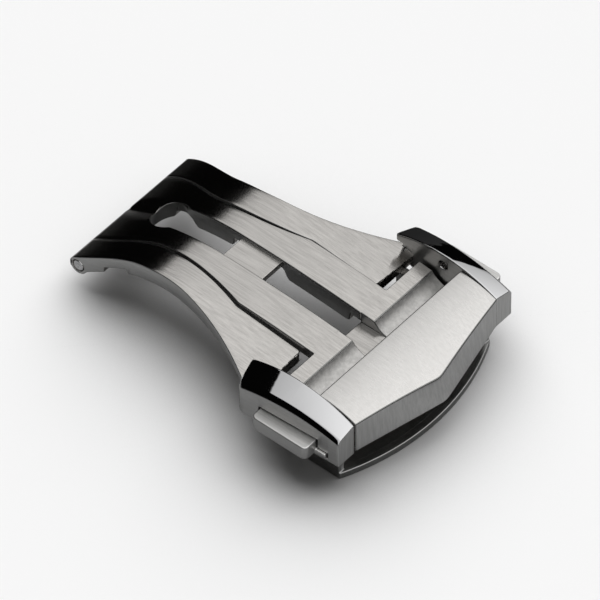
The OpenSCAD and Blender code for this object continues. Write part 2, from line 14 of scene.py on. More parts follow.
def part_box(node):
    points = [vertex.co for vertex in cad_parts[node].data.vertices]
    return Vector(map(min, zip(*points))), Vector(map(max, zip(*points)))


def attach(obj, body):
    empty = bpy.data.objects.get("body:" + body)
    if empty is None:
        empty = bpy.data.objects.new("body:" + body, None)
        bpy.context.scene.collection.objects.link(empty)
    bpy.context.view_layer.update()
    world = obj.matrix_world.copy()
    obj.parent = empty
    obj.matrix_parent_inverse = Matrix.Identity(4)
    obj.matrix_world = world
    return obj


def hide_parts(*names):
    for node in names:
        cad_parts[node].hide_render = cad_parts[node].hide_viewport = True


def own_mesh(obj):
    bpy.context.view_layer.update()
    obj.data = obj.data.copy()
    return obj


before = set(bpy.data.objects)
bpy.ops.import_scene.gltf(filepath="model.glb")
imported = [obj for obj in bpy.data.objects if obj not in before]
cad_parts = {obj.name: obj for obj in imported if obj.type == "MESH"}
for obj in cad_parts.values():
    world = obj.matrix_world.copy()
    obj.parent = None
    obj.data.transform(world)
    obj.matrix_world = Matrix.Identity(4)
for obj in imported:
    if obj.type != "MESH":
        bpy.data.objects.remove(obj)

LOG = logging.getLogger("clasp")
MM = 0.001
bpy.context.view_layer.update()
PIN_X = sum(corner.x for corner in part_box("hinge_pin")) / 2
TINY = 0.0005
LEAST = 1e-6
FACING = 0.75
ABOVE_ALL = 9.0
Mesh = bpy.types.Mesh
Object = bpy.types.Object
Socket = bpy.types.NodeSocket
Pair = tuple[float, float]
Point = tuple[float, float, float]
Corners = tuple[Point, Point]


class Brush(Enum):
    """Direction that a surface was brushed in, as the stretch of its grain."""

    ALONG = (24.0, 680.0, 680.0)
    UPRIGHT = (560.0, 560.0, 30.0)
    NONE = (260.0, 260.0, 260.0)


class Side(Enum):
    """The two mirrored halves of the clasp, as the camera sees them."""

    NEAR = -1
    FAR = 1


class Joining(Enum):
    """How one mesh works on another."""

    JOIN = "UNION"
    CUT = "DIFFERENCE"


Step = tuple[Joining, Mesh]


def smooth(low: float, high: float, t: float) -> float:
    """Value between low and high that starts and ends level, with t from 0 to 1."""
    u = min(max(t, 0.0), 1.0)
    return low + (high - low) * u * u * (3 - 2 * u)


def bend(start: Pair, corner: Pair, end: Pair, steps: int = 8) -> list[Pair]:
    """Points of a soft curve from start to end that rounds the corner between them."""
    shares = [i / steps for i in range(steps + 1)]
    return [tuple((1 - t) ** 2 * a + 2 * t * (1 - t) * b + t * t * c for a, b, c in zip(start, corner, end))
            for t in shares]


def even(start: float, end: float, steps: int) -> list[float]:
    """Numbers from start to end in even steps."""
    return [start + (end - start) * i / steps for i in range(steps + 1)]


def round_in(start: float, length: float, steps: int) -> list[float]:
    """Numbers from start over a length, dense at the start, as a quarter circle needs them."""
    return [start + length * (1 - math.cos(math.pi / 2 * i / steps)) for i in range(steps + 1)]


def fall_back(radius: float, into: float) -> float:
    """How far a rounded corner falls back at a way into it."""
    return radius - math.sqrt(max(radius * radius - into * into, 0.0))


def arc_z(top: float, radius: float, u: float, sink: float = 0.0) -> float:
    """Height of an arc at a distance u from its crest, or of the arc a radial depth below it."""
    return top - radius + math.sqrt((radius - sink) ** 2 - u * u)


def within(point: Vector, box: Corners) -> bool:
    """Tells whether a point lies in a box on either side of the clasp."""
    return all(low < abs(value) < high for low, value, high in zip(box[0], point, box[1]))


def put(name: str, data: bpy.types.ID) -> Object:
    """Makes an object and links it to the scene.

    Args:
        name: the object's name.
        data: its mesh, lamp or camera.

    Returns:
        The object.
    """
    made = bpy.data.objects.new(name, data)
    bpy.context.scene.collection.objects.link(made)
    return made


def applied(thing: Object) -> Mesh:
    """A new mesh with an object's modifiers applied."""
    return bpy.data.meshes.new_from_object(thing.evaluated_get(bpy.context.evaluated_depsgraph_get()))


@contextmanager
def reworked(target: Mesh, *sources: Mesh) -> Iterator[bmesh.types.BMesh]:
    """Opens some meshes for editing, and writes them to a mesh at the end.

    Args:
        target: the mesh that is written.
        sources: the meshes that the work starts from.

    Yields:
        The open mesh.
    """
    work = bmesh.new()
    for mesh in sources:
        work.from_mesh(mesh)
    yield work
    work.to_mesh(target)
    work.free()


class Tree:
    """A shader or geometry node tree under construction."""

    def __init__(self, tree: bpy.types.NodeTree) -> None:
        """Wraps a tree, which may hold nodes already."""
        self.tree = tree

    def add(self, kind: str, inputs: dict[str | int, object] | None = None, **settings: object) -> bpy.types.Node:
        """Adds a node.

        Args:
            kind: Blender's type name of the node.
            inputs: values of its unlinked sockets, or sockets to link to them.
            settings: properties of the node.

        Returns:
            The new node.
        """
        node = self.tree.nodes.new(kind)
        for name, value in settings.items():
            setattr(node, name, value)
        for key, value in (inputs or {}).items():
            if isinstance(value, Socket):
                self.tree.links.new(value, node.inputs[key])
            else:
                node.inputs[key].default_value = value
        return node

    def math(self, operation: str, a: object, b: object = 0.0, clamp: bool = False) -> Socket:
        """Adds a math node and returns its output."""
        return self.add("ShaderNodeMath", {0: a, 1: b}, operation=operation, use_clamp=clamp).outputs[0]

    def vector(self, operation: str, a: object, b: object = (0.0, 0.0, 0.0)) -> Socket:
        """Adds a vector math node and returns its output, which is a number where the operation gives one."""
        node = self.add("ShaderNodeVectorMath", {0: a, 1: b}, operation=operation)
        return node.outputs["Value" if operation in ("DOT_PRODUCT", "LENGTH") else "Vector"]

    def ramp(self, value: Socket, low: float, high: float, to_low: float = 0.0, to_high: float = 1.0,
             curve: str = "SMOOTHSTEP") -> Socket:
        """Maps value from low..high to to_low..to_high, held at the ends, and returns the output."""
        return self.add("ShaderNodeMapRange", {0: value, 1: low, 2: high, 3: to_low, 4: to_high},
                        interpolation_type=curve).outputs[0]

    def noise(self, place: Socket, scale: float | Socket, detail: float, roughness: float) -> Socket:
        """Adds a noise texture and returns its value."""
        return self.add("ShaderNodeTexNoise", {"Vector": place, "Scale": scale, "Detail": detail,
                                               "Roughness": roughness}).outputs["Fac"]


class Group(Tree):
    """A node group under construction: ins are what its nodes read, outs what they give."""

    def __init__(self, name: str, kind: str, inputs: dict[str, str | float], outputs: Sequence[str]) -> None:
        """Makes an empty group.

        Args:
            name: the group's name.
            kind: Shader or Geometry.
            inputs: each input's socket type, or a number's default value.
            outputs: the outputs' names, numbers in a shader group and geometry in the other.
        """
        super().__init__(bpy.data.node_groups.new(name, f"{kind}NodeTree"))
        self.names: dict[str, str] = {}
        for label, given in inputs.items():
            typed = given if isinstance(given, str) else "Float"
            made = self.tree.interface.new_socket(label, in_out="INPUT", socket_type=f"NodeSocket{typed}")
            if typed is not given:
                made.default_value = given
            self.names[label] = made.identifier
        result = "NodeSocketFloat" if kind == "Shader" else "NodeSocketGeometry"
        for label in outputs:
            self.tree.interface.new_socket(label, in_out="OUTPUT", socket_type=result)
        self.ins = self.add("NodeGroupInput").outputs
        self.outs = self.add("NodeGroupOutput").inputs

    def give(self, label: str, value: Socket) -> None:
        """Links a value to an output of the group."""
        self.tree.links.new(value, self.outs[label])

    def painted(self, shape: Socket) -> None:
        """Gives a shape, made real and in the group's steel, as the group's geometry.

        Args:
            shape: the shape.
        """
        real = self.add("GeometryNodeRealizeInstances", {0: shape}).outputs[0]
        steel = {"Geometry": real, "Material": self.ins["Steel"]}
        self.give("Geometry", self.add("GeometryNodeSetMaterial", steel).outputs[0])

    def grown(self, values: dict[str, object]) -> Mesh:
        """Runs a geometry group and keeps its result as a plain mesh.

        Args:
            values: each input's value, by its name.

        Returns:
            The mesh.
        """
        name = self.tree.name
        holder = put(name, bpy.data.meshes.new(name))
        nodes = holder.modifiers.new(name, "NODES")
        nodes.node_group = self.tree
        for label, value in values.items():
            nodes[self.names[label]] = value
        mesh = applied(holder)
        bpy.data.objects.remove(holder)
        return mesh


class SharedEffects:
    """Shader node groups that several finishes use. A noise is given as its scale, detail and roughness."""

    streaks = (22.0, 5.0, 0.75)
    tone = (9.0, 4.0, 0.7)
    scratches = (14.0, 2.0, 0.5)
    scratch_span = (0.66, 0.74)
    turn_span = (0.01, 0.2)
    turn_radius = 0.0001
    turn_samples = 6
    haze_scale = 300.0
    haze_detail = (4.0, 0.6)
    haze_span = (0.35, 0.7)

    def __init__(self) -> None:
        """Builds the groups once."""
        self.grain = self._grain()
        self.wear = self._wear()
        self.haze = self._haze()

    def _grain(self) -> bpy.types.NodeTree:
        """Brushing: streaks of three sizes, stretched along one direction.

        Returns:
            The group, which gives streaks for a bump, tone and scratches.
        """
        group = Group("brushed_grain", "Shader", {"Place": "Vector", "Stretch": "Vector"},
                      ("Streaks", "Tone", "Scratches"))
        spot = group.vector("MULTIPLY", group.ins["Place"], group.ins["Stretch"])
        group.give("Streaks", group.noise(spot, *self.streaks))
        group.give("Tone", group.noise(spot, *self.tone))
        group.give("Scratches", group.ramp(group.noise(spot, *self.scratches), *self.scratch_span))
        return group.tree

    def _wear(self) -> bpy.types.NodeTree:
        """Edge wear: a mask that rises where the surface turns within a radius.

        Returns:
            The group, which gives the mask.
        """
        group = Group("edge_wear", "Shader", {"Radius": self.turn_radius, "Amount": 1.0}, ("Mask",))
        soft = group.add("ShaderNodeBevel", {"Radius": group.ins["Radius"]}, samples=self.turn_samples).outputs[0]
        flat = group.add("ShaderNodeNewGeometry").outputs["Normal"]
        turn = group.ramp(group.math("SUBTRACT", 1.0, group.vector("DOT_PRODUCT", soft, flat)), *self.turn_span)
        group.give("Mask", group.math("MULTIPLY", turn, group.ins["Amount"], clamp=True))
        return group.tree

    def _haze(self) -> bpy.types.NodeTree:
        """Haze: soft blotches of handling, at the scale of a few millimetres.

        Returns:
            The group, which gives the mask.
        """
        group = Group("handling_haze", "Shader", {"Place": "Vector", "Size": self.haze_scale}, ("Mask",))
        blotches = group.noise(group.ins["Place"], group.ins["Size"], *self.haze_detail)
        group.give("Mask", group.ramp(blotches, *self.haze_span))
        return group.tree


@dataclass(frozen=True)
class Finish:
    """A steel finish: its colour, gloss, brushing, waviness and edge wear."""

    name: str
    colour: Point
    roughness: float
    brush: Brush = Brush.ALONG
    anisotropy: float = 0.0
    across: Point = (0.0, 1.0, 0.0)
    grain_depth: float = 0.0
    tone: float = 0.0
    tone_span: Pair = (0.3, 0.7)
    haze: float = 0.07
    waves: float = 0.0
    wave_noise: Point = (500.0, 2.0, 0.5)
    wear: float = 0.1
    wear_radius: float = 0.09 * MM
    wear_gain: float = 1.3

    def build(self, effects: SharedEffects) -> bpy.types.Material:
        """Builds the material.

        Args:
            effects: the shared node groups.

        Returns:
            The finished material.
        """
        material = bpy.data.materials.new(self.name)
        material.use_nodes = True
        material.node_tree.nodes.clear()
        tree = Tree(material.node_tree)
        place = tree.add("ShaderNodeTexCoord").outputs["Object"]
        grain = tree.add("ShaderNodeGroup", {"Place": place, "Stretch": self.brush.value},
                         node_tree=effects.grain).outputs
        haze = tree.add("ShaderNodeGroup", {"Place": place}, node_tree=effects.haze).outputs["Mask"]
        wear = tree.add("ShaderNodeGroup", {"Radius": self.wear_radius, "Amount": self.wear},
                        node_tree=effects.wear).outputs["Mask"]
        tone = tree.ramp(grain["Tone"], *self.tone_span, 1.0 - self.tone, 1.0 + self.tone)
        marked = tree.math("SUBTRACT", tone, tree.math("MULTIPLY", grain["Scratches"], self.tone))
        worn = (*(min(1.0, c * self.wear_gain) for c in self.colour), 1.0)
        colour = tree.add("ShaderNodeMix", {0: wear, 6: tree.vector("MULTIPLY", self.colour, marked), 7: worn},
                          data_type="RGBA").outputs[2]
        gloss = tree.ramp(haze, 0.0, 1.0, self.roughness * (1 - self.haze), self.roughness * (1 + self.haze))
        inputs = {"Metallic": 1.0, "Anisotropic": self.anisotropy, "Base Color": colour, "Roughness": gloss}
        if self.waves or self.grain_depth:
            height = tree.noise(place, *self.wave_noise) if self.waves else grain["Streaks"]
            relief = {"Height": height, "Strength": 1.0, "Distance": self.waves or self.grain_depth}
            inputs["Normal"] = tree.add("ShaderNodeBump", relief).outputs[0]
        if self.anisotropy:
            inputs["Tangent"] = tree.add("ShaderNodeCombineXYZ", dict(enumerate(self.across))).outputs[0]
        steel = tree.add("ShaderNodeBsdfPrincipled", inputs)
        tree.add("ShaderNodeOutputMaterial", {0: steel.outputs[0]})
        return material


BRUSHED = Finish("brushed_steel", (0.487, 0.472, 0.452), 0.17, anisotropy=0.96, grain_depth=0.0014 * MM, tone=0.14)
COVER = Finish("cover_steel", (0.565, 0.555, 0.54), 0.27, anisotropy=0.80, grain_depth=0.0010 * MM, tone=0.05)
# Side faces: an unbrushed, rougher steel whose colour is also lowered, as painted shade for the shadowed floor
# these faces mirror.
SIDES_AND_SHADE = Finish("side_steel_and_painted_shade", (0.40, 0.40, 0.395), 0.34, grain_depth=0.0015 * MM, tone=0.06)
UPRIGHT = Finish("upright_brushed_steel", (0.46, 0.46, 0.455), 0.32, Brush.UPRIGHT, 0.75, grain_depth=0.003 * MM,
                 tone=0.10)
POLISHED = Finish("polished_steel", (0.54, 0.54, 0.545), 0.035, Brush.NONE, waves=0.014 * MM, wear=0.0)
BLASTED = Finish("blasted_steel", (0.45, 0.443, 0.43), 0.42, Brush.NONE, grain_depth=0.006 * MM, tone=0.14)
PUSHER_TOP = Finish("pusher_steel", (0.70, 0.695, 0.68), 0.45, grain_depth=0.004 * MM, tone=0.10)
SATIN = Finish("satin_steel", (0.31, 0.31, 0.305), 0.34, grain_depth=0.003 * MM, tone=0.08)
# Painted shade: a dark steel for bevels and the slot end's walls. It stands in for the dark these edges mirror and
# the shade inside the slot end.
PAINTED_EDGE_SHADE = Finish("painted_edge_shade_steel", (0.19, 0.19, 0.185), 0.25, Brush.NONE, wear=0.0)
# Painted shade: near-black steel for the faces inside the pusher recess, where shade falls.
PAINTED_RECESS_SHADE = Finish("painted_recess_shade_steel", (0.05, 0.05, 0.05), 0.4, Brush.NONE, wear=0.0)
WIRE = Finish("spring_steel", (0.35, 0.35, 0.37), 0.25, Brush.NONE)


@dataclass(frozen=True)
class Zone:
    """Faces of a piece that get another finish than the rest, told by their middle and normal."""

    finish: Finish
    holds: Callable[[Vector, Vector], bool]


SIDE_FACES = Zone(SIDES_AND_SHADE, lambda p, n: abs(n.y) > FACING)


class Shell:
    """A closed mesh under construction, in millimetres: x from the hinge pin, w across, z from the table."""

    def __init__(self) -> None:
        """Starts with nothing."""
        self.work = bmesh.new()

    def loft(self, rings: Sequence[Sequence[Point]]) -> "Shell":
        """Skins a row of rings of points and closes both ends.

        Args:
            rings: rings with as many points each, in order along the piece.

        Returns:
            The shell itself.
        """
        rows = [[self.work.verts.new(point) for point in ring] for ring in rings]
        for back, front in zip(rows, rows[1:]):
            for i in range(len(back)):
                self.work.faces.new((back[i - 1], back[i], front[i], front[i - 1]))
        self.work.faces.new(rows[0])
        self.work.faces.new(rows[-1][::-1])
        return self

    def plate(self, low: Point, high: Point, side: Side) -> "Shell":
        """Adds a box between two corners on one side of the clasp."""
        return self.box((low[0], side.value * low[1], low[2]), (high[0], side.value * high[1], high[2]))

    def box(self, low: Point, high: Point) -> "Shell":
        """Adds a box between two corners."""
        ring = [(low[1], low[2]), (high[1], low[2]), (high[1], high[2]), (low[1], high[2])]
        return self.loft([[(x, w, z) for w, z in ring] for x in (low[0], high[0])])

    def bar(self, centre: Pair, rings: Sequence[Pair], sides: int = 48) -> "Shell":
        """Adds a turned bar across the clasp.

        Args:
            centre: x and z of its axis.
            rings: radius and place across the clasp of each ring.
            sides: number of sides.

        Returns:
            The shell itself.
        """
        turns = [2 * math.pi * i / sides for i in range(sides)]
        return self.loft([[(centre[0] + r * math.cos(a), w, centre[1] + r * math.sin(a)) for a in turns]
                          for r, w in rings])

    def closed(self, name: str, drop_seam: bool = False) -> Mesh:
        """Cleans the mesh and turns its faces outwards.

        Args:
            name: the mesh's name.
            drop_seam: whether faces in the middle plane, where two halves meet, are taken out.

        Returns:
            The mesh, still in millimetres.
        """
        bmesh.ops.remove_doubles(self.work, verts=self.work.verts, dist=TINY)
        bmesh.ops.dissolve_degenerate(self.work, edges=self.work.edges, dist=TINY)
        if drop_seam:
            seam = [f for f in self.work.faces if all(abs(v.co.y) < LEAST for v in f.verts)]
            bmesh.ops.delete(self.work, geom=seam, context="FACES_ONLY")
        bmesh.ops.recalc_face_normals(self.work, faces=self.work.faces)
        mesh = bpy.data.meshes.new(name)
        self.work.to_mesh(mesh)
        self.work.free()
        return mesh

    def cut(self, name: str) -> Step:
        """The closed shell as a step that cuts it away."""
        return Joining.CUT, self.closed(name)

    def join(self, name: str) -> Step:
        """The closed shell as a step that joins it on."""
        return Joining.JOIN, self.closed(name)


class Workshop:
    """Holds the materials and the ways that meshes are joined, cut, mirrored and taken from the CAD."""

    solid_merge = 0.004
    solid_flat = math.radians(0.02)

    def __init__(self) -> None:
        """Builds every material once."""
        effects = SharedEffects()
        finishes = (BRUSHED, COVER, SIDES_AND_SHADE, UPRIGHT, POLISHED, BLASTED, PUSHER_TOP, SATIN, PAINTED_EDGE_SHADE, PAINTED_RECESS_SHADE, WIRE)
        self.materials = {f.name: f.build(effects) for f in finishes}

    @staticmethod
    def combine(base: Mesh, steps: Sequence[Step]) -> Mesh:
        """Joins other meshes to a mesh, or cuts them from it, one after another.

        Args:
            base: the mesh to start from.
            steps: what is done, and with which mesh.

        Returns:
            The resulting mesh.
        """
        holder = put(base.name, base)
        tools = []
        for joining, mesh in steps:
            tools.append(put(mesh.name, mesh))
            work = holder.modifiers.new(mesh.name, "BOOLEAN")
            work.operation, work.solver, work.object = joining.value, "EXACT", tools[-1]
        result = applied(holder)
        for thing in (*tools, holder):
            bpy.data.objects.remove(thing)
        return result

    @staticmethod
    def mirrored(mesh: Mesh) -> Mesh:
        """A mirror copy of a mesh across the clasp's middle plane.

        Args:
            mesh: the mesh, in millimetres.

        Returns:
            The copy.
        """
        twin = mesh.copy()
        twin.transform(Matrix.Scale(-1, 4, (0, 1, 0)))
        return twin

    @classmethod
    def solid(cls, node: str) -> Mesh:
        """A copy of a CAD node's mesh, merged and set in millimetres from the hinge pin.

        Args:
            node: the CAD node.

        Returns:
            The copy.
        """
        mesh = bpy.data.meshes.new(node)
        with reworked(mesh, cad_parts[node].data) as work:
            scale = Matrix.Scale(1 / MM, 4) @ Matrix.Translation((-PIN_X, 0, 0))
            bmesh.ops.transform(work, verts=work.verts, matrix=scale)
            bmesh.ops.remove_doubles(work, verts=work.verts, dist=cls.solid_merge)
            bmesh.ops.dissolve_limit(work, angle_limit=cls.solid_flat, verts=work.verts, edges=work.edges)
        return mesh


@dataclass
class Assembly:
    """A sub-assembly: its workshop, its pieces so far, and how their edges are broken."""

    shop: Workshop
    _: KW_ONLY
    pieces: list[Object] = field(default_factory=list)
    merge: float = 0.003
    sharp: float = math.radians(28)
    rounds: int = 3
    flatness: int = 50

    def dress(self, mesh: Mesh, node: str, edge: float, finish: Finish, zones: Sequence[Zone] = (),
              body: str = "base", slot: str = "brushed_steel", line: Finish | None = None) -> Object:
        """Makes the shown piece for a CAD node from a mesh in millimetres, with its edges broken by a fine bevel.

        Args:
            mesh: the mesh, in millimetres from the hinge pin.
            node: the CAD node, which the piece replaces.
            edge: width of the bevel in millimetres.
            finish: finish of the faces that no zone holds.
            zones: faces with another finish.
            body: the body that carries the piece.
            slot: the record's material slot; not used.
            line: finish of the bevel itself, if it has its own; the one given is a dark steel that paints shade
                along the edges.

        Returns:
            The new piece.
        """
        shown = bpy.data.meshes.new(f"{node}_shown")
        with reworked(shown, mesh) as work:
            bmesh.ops.remove_doubles(work, verts=work.verts, dist=self.merge)
            bmesh.ops.dissolve_degenerate(work, edges=work.edges, dist=self.merge)
            bmesh.ops.recalc_face_normals(work, faces=work.faces)
            for face in work.faces:
                face.smooth = True
                middle = face.calc_center_median()
                face.material_index = next(
                    (i + 1 for i, zone in enumerate(zones) if zone.holds(middle, face.normal)), 0)
            place = Matrix.Translation((PIN_X, 0, 0)) @ Matrix.Scale(MM, 4)
            bmesh.ops.transform(work, verts=work.verts, matrix=place)
        for used in (finish, *(zone.finish for zone in zones), *([line] if line else [])):
            shown.materials.append(self.shop.materials[used.name])
        piece = put(f"{node}_shown", shown)
        if edge:
            bevel = piece.modifiers.new("broken_edges", "BEVEL")
            bevel.width = edge * MM
            bevel.segments = self.rounds
            bevel.limit_method = "ANGLE"
            bevel.angle_limit = self.sharp
            # A bevel with its own finish gets the dark steel, as painted shade along the edges.
            bevel.material = len(zones) + 1 if line else -1
            bevel.use_clamp_overlap = False
            bevel.miter_outer = "MITER_ARC"
            piece.modifiers.new("flat_faces", "WEIGHTED_NORMAL").weight = self.flatness
        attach(piece, body)
        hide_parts(node)
        self.pieces.append(piece)
        LOG.info("%s: %d faces", piece.name, len(shown.polygons))
        return piece


@dataclass(frozen=True)
class BladeForm:
    """Form of both blades, in millimetres: x from the hinge pin's axis, w across the clasp, z from the table."""

    crest_x: float = 10.5
    crest_z: float = 6.75
    hinge_arc_r: float = 20.5
    head_arc_r: float = 145.0
    outer_t: float = 1.6
    inner_t: float = 1.0
    root_x: float = 3.2
    neck_x: float = 2.2
    neck_gap: float = 0.02
    rib_depth: float = 2.0
    rib_t: float = 0.8
    knuckle_r: float = 0.9
    knuckle_half: float = 7.45
    waist_half: float = 6.37
    waist_fall: Pair = (-0.3, 6.4)
    waist_x: float = 8.0
    flare_half: float = 9.85
    flare_from: float = 8.9
    flare_power: float = 1.95
    lobe_half: float = 4.6
    lobe_fall: Pair = (0.3, 6.3)
    lobe_waist_half: float = 3.43
    lobe_waist_x: float = 7.6
    arm_root_half: float = 4.66
    arm_root_l: float = 7.8
    arm_root_power: float = 1.85
    hinge_gap: float = 0.12
    waist_gap: float = 0.22
    gap_growth: Pair = (1.5, 3.0)
    fall_half: float = 7.14
    fall: float = 0.098
    slot_x: float = 2.15
    slot_half_w: float = 1.325
    slot_end_r: float = 1.7
    slot_softness: float = 0.01
    wall_x: float = 20.85
    rail_end_x: float = 22.4
    arm_x: float = 23.6
    groove_depth: float = 0.35
    groove_half: float = 0.95
    groove_x: Pair = (-0.3, 4.0)
    bore_r: float = 0.58

    @property
    def pin_z(self) -> float:
        """Height of the hinge pin's axis."""
        reach = self.hinge_arc_r - self.knuckle_r
        return self.crest_z - self.hinge_arc_r + math.sqrt(reach ** 2 - self.crest_x ** 2)

    def knuckle_places(self) -> list[float]:
        """Places of the rings round the knuckle, dense at its end."""
        return round_in(-self.knuckle_r + TINY, self.knuckle_r, 10)

    def arc(self, x: float, sink: float = 0.0) -> float:
        """Height of the top arcs at x, or of the arcs a radial depth below them."""
        r = self.hinge_arc_r if x < self.crest_x else self.head_arc_r
        return arc_z(self.crest_z, r, x - self.crest_x, sink)

    def _knuckle(self, x: float) -> float:
        """Half height of the knuckle at x."""
        return math.sqrt(max(self.knuckle_r ** 2 - x * x, LEAST))

    def top(self, x: float) -> float:
        """Height of the blades' top face at x, round the knuckle where it is lower."""
        touch = -self.crest_x * self.knuckle_r / (self.hinge_arc_r - self.knuckle_r)
        return self.pin_z + self._knuckle(x) if x < touch else self.arc(x)

    def under(self, x: float, thick: float) -> float:
        """Finds the height of a blade's underside, with its knuckle and neck.

        Args:
            x: place along the clasp.
            thick: the blade's thickness.

        Returns:
            The height.
        """
        if x < 0:
            return self.pin_z - self._knuckle(x)
        low = self.arc(x, thick)
        if x < self.neck_x:
            neck = self.arc(self.neck_x) - self.outer_t - self.neck_gap
            low = min(low, self.arc(x, self.outer_t),
                      self.pin_z - self.knuckle_r + (neck - self.pin_z + self.knuckle_r) * x / self.neck_x)
        if x < self.knuckle_r:
            low = min(low, self.pin_z - self._knuckle(x))
        return low

    def inner_under(self, x: float) -> float:
        """Height of the inner blade's underside at x, which is thicker at its root."""
        return self.under(x, self.outer_t if x < self.root_x else self.inner_t)

    def rail_top(self, x: float, w: float) -> float:
        """Finds the height of the outer blade's top face, which falls away outward past the crest.

        Args:
            x: place along the clasp.
            w: place across it.

        Returns:
            The height.
        """
        if x <= self.crest_x:
            return self.top(x)
        u, v, height = x - self.crest_x, w - self.fall_half, 0.0
        tilt = math.atan(self.fall)
        for _ in range(4):
            side = v * math.cos(tilt) - height * math.sin(tilt)
            height = (-self.fall * math.hypot(u, side) - v * math.sin(tilt)) / math.cos(tilt)
        return min(self.arc(x), self.crest_z + height)

    def outer_edge(self, x: float) -> float:
        """Finds the half width of the outer blade's outer edge.

        Args:
            x: place along the clasp.

        Returns:
            The half width.
        """
        if x < self.waist_x:
            start, length = self.waist_fall
            return smooth(self.knuckle_half, self.waist_half, (x - start) / length)
        share = ((x - self.waist_x) / (self.wall_x - self.flare_from)) ** self.flare_power
        return self.waist_half + (self.flare_half - self.waist_half) * share

    def inner_edge(self, x: float) -> float:
        """Finds the half width of the inner blade's outer edge.

        Args:
            x: place along the clasp.

        Returns:
            The half width.
        """
        if x < self.lobe_waist_x:
            start, length = self.lobe_fall
            return smooth(self.lobe_half, self.lobe_waist_half, (x - start) / length)
        share = min((x - self.lobe_waist_x) / self.arm_root_l, 1.0) ** self.arm_root_power
        return self.lobe_waist_half + (self.arm_root_half - self.lobe_waist_half) * share

    def rail_edge(self, x: float) -> float:
        """Half width of the outer blade's inner edge."""
        start, length = self.gap_growth
        return self.inner_edge(x) + smooth(self.hinge_gap, self.waist_gap, (x - start) / length)

    def slot_half(self, x: float) -> float:
        """Finds the half width of the slot, with its round end and the soft neck past it.

        Args:
            x: place along the clasp.

        Returns:
            The half width.
        """
        r, u = self.slot_end_r, x - self.slot_x - self.slot_end_r
        ring = math.sqrt(max(r * r - u * u, 0.0))
        if u < 0:
            return ring
        half = self.slot_half_w
        return min(r, (ring + half + math.sqrt((ring - half) ** 2 + self.slot_softness)) / 2)


